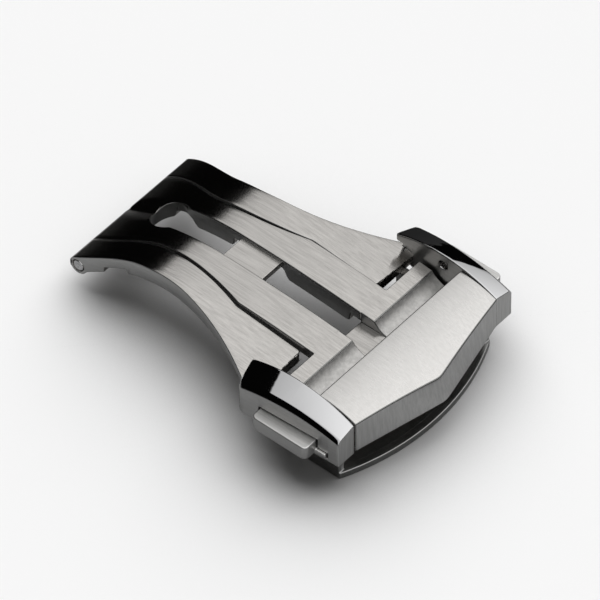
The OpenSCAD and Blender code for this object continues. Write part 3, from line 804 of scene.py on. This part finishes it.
@dataclass
class InnerBlade(Assembly):
    """Inner blade with its slot, ribs, cross arms, hollow bevel and plateau, its bridge and the hinge pin."""

    form: BladeForm = BladeForm()
    edge: float = 0.07
    arm_end_x: float = 25.05
    hollow_r: float = 2.4
    hollow_end_x: float = 27.0
    plateau_z: float = 5.0
    head_z: float = 4.2
    head_end_x: float = 30.6
    body_half: float = 8.95
    slot_head_half: float = 1.365
    slot_head_l: float = 0.5
    slot_head_end_x: float = 28.05
    ribs: tuple[Point, ...] = ((4.9, 9.8, 1.0), (15.1, 22.5, 0.7))
    rib_corner_r: float = 0.4
    pockets: tuple[Corners, ...] = (
        ((27.45, 6.85, 3.0), (30.05, 8.5, 6.0)), ((28.23, 8.4, 3.0), (29.27, 9.2, 6.0)))
    flange: Corners = ((21.65, 8.2, 3.3), (30.15, 8.9, 4.25))
    bore_reach: float = 6.0
    slot_ring: Corners = ((2.0, -1.0, -1.0), (4.6, 1.72, ABOVE_ALL))
    ring_tilt: float = 0.4
    hollow_tilt: float = 0.2
    hollow_turn: Pair = (0.1, 0.95)
    neck_span: Pair = (0.1, 2.1)
    root_step: float = 0.01
    slot_step: float = 0.002
    pin_end: tuple[Pair, ...] = ((0.02, 7.34), (0.17, 7.34), (0.24, 7.41), (0.44, 7.42), (0.52, 7.38), (0.55, 7.3))

    def _rib_under(self, x: float) -> float:
        """Finds the height of the rib's lower edge, or of the blade's underside where there is no rib.

        Args:
            x: place along the clasp.

        Returns:
            The height.
        """
        form, blade = self.form, self.form.inner_under(x)
        for start, end, rise in self.ribs:
            if start < x < end:
                drop = smooth(form.inner_t, form.rib_depth, (x - start) / rise)
                drop -= fall_back(self.rib_corner_r, max(x - end + self.rib_corner_r, 0.0))
                return min(blade, form.arc(x) - drop)
        return blade

    def _strip(self, x: float, s: int) -> list[Point]:
        """Makes the ring of one half of the blade behind the cross arms.

        Args:
            x: place along the clasp.
            s: sign of the half.

        Returns:
            The ring's points.
        """
        form = self.form
        start, end = form.groove_x
        inner = form.slot_half(x) if x > form.slot_x else 0.0
        top = form.top(x)
        rise = (form.top(form.root_x) - form.top(start)) / (form.root_x - start)
        base = form.top(start) - form.groove_depth + rise * (x - start)
        slope = form.groove_depth / form.groove_half
        lip = max(inner, (top - base) / slope) if x < end else inner
        lip_z = min(top, base + slope * inner) if x < end else top
        low, rib = form.inner_under(x), self._rib_under(x)
        outer, web = form.inner_edge(x), max(inner, form.slot_half_w) + form.rib_t
        crown = [(w, top) for w in even(lip, outer, 6)]
        ring = [(inner, rib), (inner, lip_z), *crown, (outer, low), (web, low), (web, rib)]
        return [(x, s * w, z) for w, z in ring]

    def _head_top(self, x: float) -> float:
        """Finds the height of the arms, the hollow bevel and the plateau.

        Args:
            x: place along the clasp.

        Returns:
            The height.
        """
        centre_z = self.plateau_z + self.hollow_r
        foot = self.arm_end_x + math.sqrt(self.hollow_r ** 2 - (centre_z - self.form.arc(self.arm_end_x)) ** 2)
        if x <= self.arm_end_x:
            return self.form.arc(x)
        if x >= foot:
            return self.plateau_z
        return centre_z - math.sqrt(self.hollow_r ** 2 - (foot - x) ** 2)

    def _head(self) -> Mesh:
        """Makes the arms, the plateau with its slot and pockets, and the flanges.

        Returns:
            The head's mesh.
        """
        form, half = self.form, self.body_half
        xs = sorted({*even(form.arm_x, self.arm_end_x, 5), *even(self.arm_end_x, self.hollow_end_x, 14),
                     self.head_end_x})
        head = Shell().loft([[(x, -half, self.head_z), (x, -half, self._head_top(x)),
                              (x, half, self._head_top(x)), (x, half, self.head_z)] for x in xs])
        slot = Shell().box((form.arm_x - self.slot_head_l, -self.slot_head_half, self.plateau_z),
                           (self.slot_head_end_x, self.slot_head_half, ABOVE_ALL))
        steps = [slot.cut("slot")]
        for side in Side:
            steps += [Shell().plate(*pocket, side).cut(f"pocket_{side.name}_{i}")
                      for i, pocket in enumerate(self.pockets)]
            steps.append(Shell().plate(*self.flange, side).join(f"flange_{side.name}"))
        return self.shop.combine(head.closed("head"), steps)

    def _blade(self) -> Mesh:
        """Makes the blade from its two strips and its head.

        Returns:
            The blade's mesh.
        """
        form = self.form
        rib_ends = (x for rib in self.ribs for x in rib[:2])
        turns = (form.root_x, form.root_x + self.root_step, form.slot_x, form.crest_x, *rib_ends)
        places = sorted({round(x, 4) for x in (
            *form.knuckle_places(), *even(*self.neck_span, 10),
            *round_in(form.slot_x + self.slot_step, form.slot_end_r, 12),
            *even(form.groove_x[1], form.arm_x, 78), *turns)})
        strips = Shell()
        for side in Side:
            strips.loft([self._strip(x, side.value) for x in places])
        bore = Shell().bar((0.0, form.pin_z), ((form.bore_r, -self.bore_reach), (form.bore_r, self.bore_reach)))
        return self.shop.combine(strips.closed("strips", drop_seam=True),
                                 [(Joining.JOIN, self._head()), bore.cut("bore")])

    def build(self) -> None:
        """Builds the blade, the bridge and the pin."""
        least, most = self.hollow_turn
        # Painted shade: the slot end's walls get the dark edge steel, and the blade's bevels a dark line. Both
        # stand in for the shade and dark reflections there.
        ring = Zone(PAINTED_EDGE_SHADE, lambda p, n: within(p, self.slot_ring) and abs(n.z) < self.ring_tilt)
        hollow = Zone(BLASTED, lambda p, n: p.x > self.arm_end_x and least < n.x < most and n.z > self.hollow_tilt)
        self.dress(self._blade(), "lower_blade", self.edge, BRUSHED, [ring, SIDE_FACES, hollow], line=PAINTED_EDGE_SHADE)
        self.dress(self.shop.solid("blade_bridge"), "blade_bridge", self.edge / 2, BRUSHED)
        near = [(r, -w) for r, w in self.pin_end]
        pin = Shell().bar((0.0, self.form.pin_z), (*near, *self.pin_end[::-1]))
        self.dress(pin.closed("pin"), "hinge_pin", 0.0, POLISHED, slot="polished_steel")


@dataclass
class StrapTray(Assembly):
    """Tray under the head with its clamp flap, the flap's pin and the toothed bar."""

    edge: float = 0.1
    teeth: int = 12
    tooth_h: float = 0.5
    tooth_tip: float = 0.02
    bar_t: float = 0.6
    bar_edge: float = 0.02

    def _teeth(self) -> Mesh:
        """Makes the row of teeth by a node tree that sets one ridge per pitch.

        Returns:
            The mesh, in millimetres.
        """
        low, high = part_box("clamp_bar")
        span = (high.y - low.y) / MM
        group = Group("bite_teeth", "Geometry", {"Count": "Int", "Pitch": "Float", "Height": "Float",
                                                 "Depth": "Float", "Steel": "Material"}, ("Geometry",))
        ins = group.ins
        step = group.add("ShaderNodeCombineXYZ", {"Y": ins["Pitch"]}).outputs[0]
        row = group.add("GeometryNodeMeshLine", {"Count": ins["Count"], "Offset": step}).outputs[0]
        ridge = group.add("GeometryNodeMeshCone", {"Vertices": 4, "Radius Top": self.tooth_tip,
                                                   "Radius Bottom": math.sqrt(0.5), "Depth": 1.0})
        turned = group.add("GeometryNodeTransform", {"Geometry": ridge.outputs[0],
                                                     "Rotation": (0.0, 0.0, math.pi / 4)}).outputs[0]
        size = group.add("ShaderNodeCombineXYZ", {"X": ins["Depth"], "Y": ins["Pitch"], "Z": ins["Height"]})
        placed = {"Points": row, "Instance": turned, "Scale": size.outputs[0]}
        group.painted(group.add("GeometryNodeInstanceOnPoints", placed).outputs[0])
        mesh = group.grown({"Count": self.teeth, "Pitch": span / self.teeth, "Height": self.tooth_h,
                            "Depth": self.bar_t, "Steel": self.shop.materials[SATIN.name]})
        mesh.transform(Matrix.Translation((
            (low.x + high.x) / 2 / MM - PIN_X / MM, -span / 2 + span / self.teeth / 2, high.z / MM - self.tooth_h)))
        return mesh

    def build(self) -> None:
        """Builds the tray, the flap and the bar."""
        for node, body, finish, slot, edge in (
                ("strap_tray", "base", SATIN, "satin_steel", self.edge),
                ("flap_pin", "base", POLISHED, "polished_steel", self.edge),
                ("clamp_flap", "flap", SATIN, "satin_steel", self.edge / 4)):
            self.dress(self.shop.solid(node), node, edge, finish, (), body, slot)
        low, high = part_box("clamp_bar")
        x0, x1, half = (low.x - PIN_X) / MM, (high.x - PIN_X) / MM, high.y / MM
        top = high.z / MM - self.tooth_h + self.tooth_tip
        bar = Shell().box((x0, -half, low.z / MM), (x1, half, top)).closed("bar")
        with reworked(bar, bar, self._teeth()):
            pass
        self.dress(bar, "clamp_bar", self.bar_edge, SATIN, (), "flap", "satin_steel")


@dataclass
class OuterBlade(Assembly):
    """Outer blade: two rails with their side walls and polished caps, and the pointed cover."""

    form: BladeForm = BladeForm()
    edge: float = 0.09
    rail_corner_r: float = 0.35
    rail_splay: float = 0.4
    notch: Pair = (2.55, 4.8)
    notch_depth: float = 0.5
    notch_step: float = 0.001
    rail_x: float = 0.1
    inner_half: float = 9.15
    outer_half: float = 11.45
    flare: float = 0.25
    inside_turn: tuple[Pair, ...] = ((0.058, 0.298), (0.0, 0.0), (0.304, 0.0))
    outside_turn: tuple[Pair, ...] = ((-0.083, -0.424), (0.0, 0.0), (0.43, -0.021))
    outside_back: float = 0.5
    wall_end_x: float = 31.75
    wall_low_z: float = 3.5
    wall_corner_r: float = 1.3
    cap_z: float = 8.4
    cap_edge_z: float = 7.175
    cap_crest_l: float = 4.9
    cap_arc_r: float = 13.0
    cap_edge_r: float = 21.0
    cap_chamfer: float = 0.34
    cap_lip: float = 0.1
    cap_from_z: float = 5.9
    cap_brow_z: float = 6.1
    seat: tuple[float, float, float, float] = (26.0, 7.1, 0.45, 1.0)
    hollow: Corners = ((19.8, 8.0, 2.0), (22.7, 9.9, 6.75))
    recess: tuple[Corners, ...] = (
        ((23.57, 9.8, 3.89), (29.58, 13.0, 5.45)), ((28.5, 10.25, 3.89), (30.63, 13.0, 4.47)))
    recess_faces: Corners = ((23.5, 9.81, 3.9), (29.6, 11.55, 5.46))
    bore_from: float = 3.5
    bore_to: float = 9.0
    bore_rim: Point = (0.12, 0.02, 0.1)
    cover_x: float = 27.95
    cover_half: float = 9.11
    cover_side_l: float = 3.9
    cover_point_l: float = 2.15
    cover_lean: float = 1.1
    cover_z: float = 7.85
    cover_arc_r: float = 10.0
    cover_crest_back: float = 0.1
    cover_t: float = 1.15
    cover_low_z: float = 3.75
    cover_foot: float = 0.5
    tip_r: float = 0.35
    tip_share: float = 0.55
    tip_span: Pair = (1.0, 1.2)
    pin_cut: Corners = ((20.0, -15.0, 5.05), (30.0, 15.0, ABOVE_ALL))
    cap_margin: Pair = (0.1, 0.005)
    cap_tilt: Pair = (0.45, 0.2)
    front_tilt: float = 0.8
    front_l: float = 5.0
    recess_tilt: float = 0.5
    lining_margin: float = 0.02

    def _rail_ring(self, x: float, s: int) -> list[Point]:
        """Makes the ring of a rail: its underside, outer edge, top and inner edge.

        Args:
            x: place along the clasp.
            s: sign of the side.

        Returns:
            The ring's points.
        """
        form, r = self.form, self.rail_corner_r
        inner, outer = form.rail_edge(x), form.outer_edge(x)
        if x > form.rail_end_x - r:
            inner += fall_back(r, x - form.rail_end_x + r)
        if x > form.wall_x:
            outer = form.outer_edge(form.wall_x) + (x - form.wall_x) * self.rail_splay
        low = form.under(x, form.outer_t)
        if self.notch[0] < x < self.notch[1]:
            low = form.arc(x, form.outer_t - self.notch_depth)
        ring = [(inner, low), (outer, low), *((w, form.rail_top(x, w)) for w in even(outer, inner, 8))]
        return [(x, s * w, z) for w, z in ring]

    def _rail(self, side: Side) -> Mesh:
        """Makes one rail.

        Args:
            side: its side of the clasp.

        Returns:
            The rail's mesh.
        """
        form, r = self.form, self.rail_corner_r
        corner = form.rail_end_x - r
        places = sorted({round(x, 4) for x in (
            *form.knuckle_places(), *even(self.rail_x, form.wall_x, 83),
            *(x + gap for x in self.notch for gap in (0, self.notch_step)), *even(form.wall_x, corner, 5),
            *(form.rail_end_x - x + corner for x in round_in(corner, r, 6)))})
        return Shell().loft([self._rail_ring(x, side.value) for x in places]).closed(f"rail_{side.name}")

    def _cap(self, x: float, w: float) -> float:
        """Finds the height of the polished cap.

        Args:
            x: place along the clasp.
            w: place across it.

        Returns:
            The height.
        """
        u = x - self.form.wall_x - self.cap_crest_l
        inner, outer = arc_z(self.cap_z, self.cap_arc_r, u), arc_z(self.cap_edge_z, self.cap_edge_r, u)
        return inner + (outer - inner) * (w - self.inner_half) / (self.outer_half + self.flare - self.inner_half)

    def _wall_ring(self, inner: Pair, outer: Pair, s: int) -> list[Point]:
        """Makes the ring of a side wall, with the chamfers of its cap.

        Args:
            inner: its place in the plan of the inner face.
            outer: its place in the plan of the outer face.
            s: sign of the side.

        Returns:
            The ring's points.
        """
        def low(x: float) -> float:
            """Height of the wall's lower edge at x."""
            r = self.wall_corner_r
            return self.wall_low_z + fall_back(r, min(max(self.form.wall_x + r - x, 0.0), r))

        def toward(near: Pair, far: Pair, length: float) -> Pair:
            """Point at a length from near toward far."""
            share = length / math.dist(near, far)
            return near[0] + (far[0] - near[0]) * share, near[1] + (far[1] - near[1]) * share

        brow, lip = toward(outer, inner, self.cap_chamfer), toward(inner, outer, self.cap_lip)
        ring = [(*inner, low(inner[0])), (*outer, low(outer[0])), (*outer, self._cap(*outer) - self.cap_chamfer),
                (*brow, self._cap(*brow)), (*lip, self._cap(*lip)), (*inner, self._cap(*inner) - self.cap_lip)]
        return [(x, s * w, z) for x, w, z in ring]

    def _wall(self, side: Side) -> Mesh:
        """Makes one rail with its side wall, cap, hollow, spring bar seat, recess and pin bore.

        Args:
            side: its side of the clasp.

        Returns:
            The mesh of both.
        """
        s, rear, end, inner = side.value, self.form.wall_x, self.wall_end_x, self.inner_half
        inside = bend(*((rear + u, inner + v) for u, v in self.inside_turn))
        corner = (rear + self.outside_back, self.outer_half + self.flare)
        outside = bend(*((corner[0] + u, corner[1] + v) for u, v in self.outside_turn))
        inside += [(x, inner) for x in even(inside[-1][0], end, 40)[1:]]
        last_x, last_w = outside[-1]
        outside += zip(even(last_x, end, 40)[1:], even(last_w, self.outer_half - self.flare, 40)[1:])
        wall = Shell().loft([self._wall_ring(a, b, s) for a, b in zip(inside, outside)])
        steps = [Shell().plate(*corners, side).cut(f"cut_{side.name}_{i}")
                 for i, corners in enumerate((self.hollow, *self.recess))]
        x, z, r, depth = self.seat
        seat = Shell().bar((x, z), ((r, s * (inner - 1)), (r, s * (inner + depth))))
        bore_r, half, (back, past, wider) = self.form.bore_r, self.form.knuckle_half, self.bore_rim
        bore = Shell().bar((0.0, self.form.pin_z), (
            (bore_r, s * self.bore_from), (bore_r, s * (half - back)),
            (bore_r + wider, s * (half + past)), (bore_r + wider, s * self.bore_to)))
        steps += [seat.cut(f"seat_{side.name}"), (Joining.JOIN, self._rail(side)), bore.cut(f"bore_{side.name}")]
        return self.shop.combine(wall.closed(f"wall_{side.name}"), steps)

    def _point(self, w: float) -> float:
        """Share of the cover's point at w, from 0 at its sides to 1 at its tip, which is rounded."""
        run = self.cover_half - self.tip_r * (1 - self.tip_share)
        return max(0.0, 1 - (math.hypot(w, self.tip_r) - self.tip_r * self.tip_share) / run)

    def _front(self, w: float, z: float) -> float:
        """Place of the cover's front wall at w and z."""
        height = (z - self.cover_low_z) / (self.cover_z - self.cover_low_z)
        return self.cover_x + self.cover_side_l + self._point(w) * (self.cover_point_l - self.cover_lean * height)

    def _cover_arc(self, x: float, sink: float = 0.0) -> float:
        """Height of the cover's top face at x, or of its underside."""
        return arc_z(self.cover_z, self.cover_arc_r, x - self.cover_x + self.cover_crest_back, sink)

    def _cover_ring(self, w: float) -> list[Point]:
        """Makes the ring of the cover: its top arc, front wall and underside.

        Args:
            w: place across the clasp.

        Returns:
            The ring's points.
        """
        brow = self.cover_x + self.cover_side_l
        for _ in range(12):
            brow = self._front(w, self._cover_arc(brow))
        foot = self._front(w, self.cover_low_z) - self.cover_foot
        ring = [(x, self._cover_arc(x)) for x in even(self.cover_x, brow, 26)]
        ring += [(self._front(w, z), z) for z in even(self._cover_arc(brow), self.cover_low_z, 8)[1:]]
        ring.append((foot, self.cover_low_z))
        ring += [(x, self._cover_arc(x, self.cover_t)) for x in even(foot, self.cover_x, 16)]
        return [(x, w, z) for x, z in ring]

    def _cover(self) -> Mesh:
        """Makes the pointed cover.

        Returns:
            The cover's mesh.
        """
        half, (dense, sparse) = self.cover_half, self.tip_span
        places = [*even(-half, -sparse, 16), *even(-dense, dense, 20), *even(sparse, half, 16)]
        return Shell().loft([self._cover_ring(w) for w in places]).closed("cover")

    def build(self) -> None:
        """Builds the rails with their walls, the cover, its dowels and the stop pins."""
        rear, inner = self.form.wall_x, self.inner_half
        (behind, beside), (level, steep) = self.cap_margin, self.cap_tilt
        cap = Zone(POLISHED, lambda p, n: p.x > rear - behind and abs(p.y) > inner + beside
                   and p.z > self.cap_from_z and (n.z > level or (n.z > steep and p.z > self.cap_brow_z)))
        front = Zone(UPRIGHT, lambda p, n: n.x > self.front_tilt and p.x > rear + self.front_l)
        # Painted shade: the recess's inner faces get near-black steel.
        recess = Zone(PAINTED_RECESS_SHADE, lambda p, n: within(p, self.recess_faces) and abs(n.y) < self.recess_tilt)
        lining = Zone(SATIN, lambda p, n: abs(n.y) > FACING and abs(p.y) < inner + self.lining_margin
                      and p.x > rear)
        near = self._wall(Side.NEAR)
        for node, mesh in (("side_rail_near", near), ("side_rail_far", self.shop.mirrored(near))):
            self.dress(mesh, node, self.edge, BRUSHED, [recess, cap, front, lining, SIDE_FACES], "cover")
        wall = Zone(UPRIGHT, lambda p, n: n.x > FACING)
        # Painted shade: the cover's bevels get the dark edge steel, for the dark that its edges mirror.
        self.dress(self._cover(), "shield_cover", self.edge, COVER, [wall], "cover", line=PAINTED_EDGE_SHADE)
        pins = self.shop.combine(self.shop.solid("stop_pins"), [Shell().box(*self.pin_cut).cut("above")])
        for mesh, node in ((self.shop.solid("cover_dowels"), "cover_dowels"), (pins, "stop_pins")):
            self.dress(mesh, node, 0.0, POLISHED, (), "cover", "polished_steel")


@dataclass
class PushButton(Assembly):
    """One pusher with its hook plate, rivet and wound spring."""

    side: Side
    edge: float = 0.12
    hook_edge: float = 0.03
    rivet_edge: float = 0.02
    top_tilt: float = 0.8
    wire_r: float = 0.07
    wire_sides: int = 10
    turns: int = 5
    turn_steps: int = 24
    bore_sides: int = 32
    plan_x: Pair = (23.65, 29.5)
    plan_w: Pair = (10.55, 12.75)
    plan_z: Pair = (3.97, 5.37)
    corner_r: float = 0.55
    lip: Corners = ((28.5, 11.0, 3.97), (30.55, 11.5, 4.39))
    stem: Corners = ((28.35, 8.2, 4.3), (29.15, 10.6, 5.15))
    stop_slot: Corners = ((24.65, 10.76, 3.5), (25.15, 11.98, 5.12))
    bores: tuple[tuple[float, float, float, float, float], ...] = (
        (26.85, 4.67, 0.5, 9.5, 11.8), (28.75, 4.725, 0.24, 7.2, 9.0))

    def _pusher(self) -> Mesh:
        """Makes the push button with its lip and stem, its blind stop slot and its two bores.

        Returns:
            The button's mesh.
        """
        s, r, name = self.side.value, self.corner_r, self.side.name
        (x0, x1), (inner, outer) = self.plan_x, self.plan_w
        plan = [(x0, inner), *bend((x0, outer - r), (x0, outer), (x0 + r, outer)),
                *bend((x1 - r, outer), (x1, outer), (x1, outer - r)), (x1, inner)]
        block = Shell().loft([[(x, s * w, z) for x, w in plan] for z in self.plan_z]).closed(f"block_{name}")
        steps = [Shell().plate(*self.lip, self.side).join(f"lip_{name}"),
                 Shell().plate(*self.stem, self.side).join(f"stem_{name}"),
                 Shell().plate(*self.stop_slot, self.side).cut(f"stop_slot_{name}")]
        steps += [
            Shell().bar((x, z), ((radius, s * start), (radius, s * end)), self.bore_sides).cut(f"bore_{name}_{i}")
            for i, (x, z, radius, start, end) in enumerate(self.bores)]
        return self.shop.combine(block, steps)

    def _spring(self) -> Mesh:
        """Winds the spring by a node tree that sweeps a round wire along a helix.

        Returns:
            The mesh, in millimetres.
        """
        low, high = (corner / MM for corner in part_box(f"pusher_spring_{self.side.name.lower()}"))
        group = Group("wound_spring", "Geometry", {"Turns": "Float", "Radius": "Float", "Length": "Float",
                                                   "Wire": "Float", "Steel": "Material"}, ("Geometry",))
        ins = group.ins
        helix = group.add("GeometryNodeCurveSpiral", {
            "Resolution": self.turn_steps, "Rotations": ins["Turns"], "Start Radius": ins["Radius"],
            "End Radius": ins["Radius"], "Height": ins["Length"]}).outputs[0]
        section = group.add("GeometryNodeCurvePrimitiveCircle",
                            {"Resolution": self.wire_sides, "Radius": ins["Wire"]})
        swept = {"Curve": helix, "Profile Curve": section.outputs[0], "Fill Caps": True}
        group.painted(group.add("GeometryNodeCurveToMesh", swept).outputs[0])
        mesh = group.grown({
            "Turns": float(self.turns), "Radius": (high.x - low.x) / 2 - self.wire_r,
            "Length": high.y - low.y - 2 * self.wire_r, "Wire": self.wire_r,
            "Steel": self.shop.materials[WIRE.name]})
        start = low.y + self.wire_r if self.side is Side.FAR else high.y - self.wire_r
        turn = Matrix.Rotation(-math.pi / 2 * self.side.value, 4, "X")
        middle = Vector(((low.x + high.x) / 2 - PIN_X / MM, start, (low.z + high.z) / 2))
        mesh.transform(Matrix.Translation(middle) @ turn)
        return mesh

    def build(self) -> None:
        """Builds the four pieces of this side."""
        name = self.side.name.lower()
        body = f"button_{name}"
        top = Zone(PUSHER_TOP, lambda p, n: n.z > self.top_tilt)
        self.dress(self._pusher(), f"pusher_{name}", self.edge, SIDES_AND_SHADE, [top], body)
        for node, edge, finish, slot in (
                (f"latch_hook_{name}", self.hook_edge, SATIN, "satin_steel"),
                (f"hook_rivet_{name}", self.rivet_edge, POLISHED, "polished_steel")):
            self.dress(self.shop.solid(node), node, edge, finish, (), body, slot)
        spring = self.dress(self._spring(), f"pusher_spring_{name}", 0.0, WIRE, (), body, "spring_steel")
        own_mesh(spring)


@dataclass(frozen=True)
class Studio:
    """Floor, studio light and the camera at the photograph's angle."""

    azimuth: float = math.radians(40.789)
    elevation: float = math.radians(47.320)
    roll: float = math.radians(-0.654)
    distance: float = 711.5 * MM
    target: Point = (1.478 * MM, 0.140 * MM, 4.8 * MM)
    lens: float = 512.7
    sensor: float = 36.0
    clip: Pair = (0.05, 20.0)
    dome: Point = (0.625, 0.196, 0.755)
    dome_levels: Pair = (0.77, 1.5)
    edge_of_light: float = 0.175
    edge_soft: float = 0.008
    dark: float = 0.002
    low_dark: Pair = (0.08, 0.24)
    sky_on_floor: float = 0.05
    backdrop: float = 0.905
    lamp_from: Point = (-0.24, 0.5, 0.83)
    lamp_strength: float = 3.62
    lamp_width: float = math.radians(90)
    floor_size: float = 3.0
    floor_tone: float = 0.88
    floor_gloss: Pair = (0.7, 0.1)
    # Painted shade: the floor's colour as the steel mirrors it, darker and fading to dark behind the clasp and away
    # from it.
    mirrored_floor_shade: Pair = (0.52, 0.02)
    floor_away: Point = (-0.62, 0.78, 0.0)
    floor_fade: Pair = (12.0 * MM, 34.0 * MM)
    floor_reach: Pair = (24.0 * MM, 42.0 * MM)
    floor_least: float = 0.25
    # Painted contact shadow: ambient occlusion darkens the floor's colour near the clasp.
    painted_shadow_reach: float = 22.0 * MM
    painted_shadow_open: float = 0.95
    painted_shadow_tone: float = 0.38
    painted_shadow_samples: int = 12

    def camera(self) -> None:
        """Places the camera and makes it the scene's own."""
        a, e = self.azimuth, self.elevation
        back = Vector((math.sin(a) * math.cos(e), -math.cos(a) * math.cos(e), math.sin(e)))
        right = Vector((math.cos(a), math.sin(a), 0.0))
        turned = math.cos(self.roll) * right + math.sin(self.roll) * back.cross(right)
        data = bpy.data.cameras.new("camera")
        data.lens, data.sensor_width = self.lens, self.sensor
        data.clip_start, data.clip_end = self.clip
        camera = put("camera", data)
        camera.matrix_world = Matrix((turned, back.cross(turned), back)).transposed().to_4x4()
        camera.location = Vector(self.target) + self.distance * back
        bpy.context.scene.camera = camera

    def floor(self) -> None:
        """Makes the pale floor with painted shade: darker where the steel mirrors it, fading behind and away from
        the clasp, and a contact shadow near it.
        """
        mesh = bpy.data.meshes.new("floor")
        with reworked(mesh) as work:
            bmesh.ops.create_grid(work, x_segments=1, y_segments=1, size=self.floor_size)
        material = bpy.data.materials.new("pale_floor")
        material.use_nodes = True
        tree = Tree(material.node_tree)
        shader = material.node_tree.nodes["Principled BSDF"]
        mirrored = tree.add("ShaderNodeLightPath").outputs["Is Glossy Ray"]
        place = tree.add("ShaderNodeTexCoord").outputs["Object"]
        # Painted shade: glossy rays see the floor darker, more so behind and away from the clasp.
        behind = tree.ramp(tree.vector("DOT_PRODUCT", place, self.floor_away),
                           *self.floor_fade, *self.mirrored_floor_shade)
        around = tree.ramp(tree.vector("LENGTH", place), *self.floor_reach, 1.0, self.floor_least)
        mirrored_shade = tree.math("MULTIPLY", behind, around)
        share = tree.math("ADD", 1.0, tree.math("MULTIPLY", mirrored, tree.math("SUBTRACT", mirrored_shade, 1.0)))
        # Painted shadow: ambient occlusion darkens the floor's colour near the clasp.
        occlusion = tree.add("ShaderNodeAmbientOcclusion", {"Distance": self.painted_shadow_reach},
                          samples=self.painted_shadow_samples).outputs["AO"]
        painted_contact_shadow = tree.ramp(occlusion, 0.0, self.painted_shadow_open, self.painted_shadow_tone, 1.0, "LINEAR")
        tone = tree.math("MULTIPLY", tree.math("MULTIPLY", self.floor_tone, share), painted_contact_shadow)
        tree.tree.links.new(tone, shader.inputs["Base Color"])
        for name, value in zip(("Roughness", "Specular IOR Level"), self.floor_gloss):
            shader.inputs[name].default_value = value
        mesh.materials.append(material)
        floor = put("floor", mesh)

    def lamp(self) -> None:
        """Makes the soft lamp that casts the shadow on the floor and stays out of the steel's reflections."""
        data = bpy.data.lights.new("lamp", "SUN")
        data.energy, data.angle, data.specular_factor = self.lamp_strength, self.lamp_width, 0.0
        lamp = put("lamp", data)
        lamp.rotation_euler = Vector(self.lamp_from).to_track_quat("Z", "Y").to_euler()
        lamp.visible_glossy = False

    def sky(self) -> None:
        """Makes the studio light: a wide soft dome that leans over the cover, and darkness opposite it."""
        world = bpy.data.worlds.new("studio")
        bpy.context.scene.world = world
        world.use_nodes = True
        world.node_tree.nodes.clear()
        tree = Tree(world.node_tree)
        toward = tree.add("ShaderNodeTexCoord").outputs["Generated"]
        dome = tree.vector("DOT_PRODUCT", toward, self.dome)
        lit = tree.ramp(dome, self.edge_of_light - self.edge_soft, self.edge_of_light + self.edge_soft)
        level = tree.ramp(dome, self.edge_of_light, 1.0, *self.dome_levels, "LINEAR")
        height = tree.add("ShaderNodeSeparateXYZ", {0: toward}).outputs["Z"]
        bright = tree.math("MULTIPLY", tree.math("MULTIPLY", lit, level), tree.ramp(height, *self.low_dark))
        path = tree.add("ShaderNodeLightPath").outputs
        spared = tree.ramp(path["Is Diffuse Ray"], 0.0, 1.0, 1.0, self.sky_on_floor)
        glow = tree.math("MULTIPLY", tree.math("MAXIMUM", bright, self.dark), spared)
        light = tree.add("ShaderNodeBackground", {"Color": (1.0, 1.0, 1.0, 1.0), "Strength": glow})
        white = tree.add("ShaderNodeBackground", {"Color": (*[self.backdrop] * 3, 1.0), "Strength": 1.0})
        mix = tree.add("ShaderNodeMixShader", {0: path["Is Camera Ray"], 1: light.outputs[0], 2: white.outputs[0]})
        tree.add("ShaderNodeOutputWorld", {0: mix.outputs[0]})

    def build(self) -> None:
        """Builds camera, floor and light."""
        self.camera()
        self.floor()
        self.lamp()
        self.sky()
        bpy.context.scene.view_settings.view_transform = "Standard"


def main() -> None:
    """Builds the clasp's looks in order and reports each piece."""
    logging.basicConfig(level=logging.INFO, format="%(name)s: %(message)s")
    Studio().build()
    shop = Workshop()
    assemblies = (InnerBlade(shop), StrapTray(shop), OuterBlade(shop), PushButton(shop, Side.NEAR),
                  PushButton(shop, Side.FAR))
    for assembly in assemblies:
        assembly.build()
        LOG.info("%s: %d pieces", type(assembly).__name__, len(assembly.pieces))


if __name__ == "__main__":
    main()
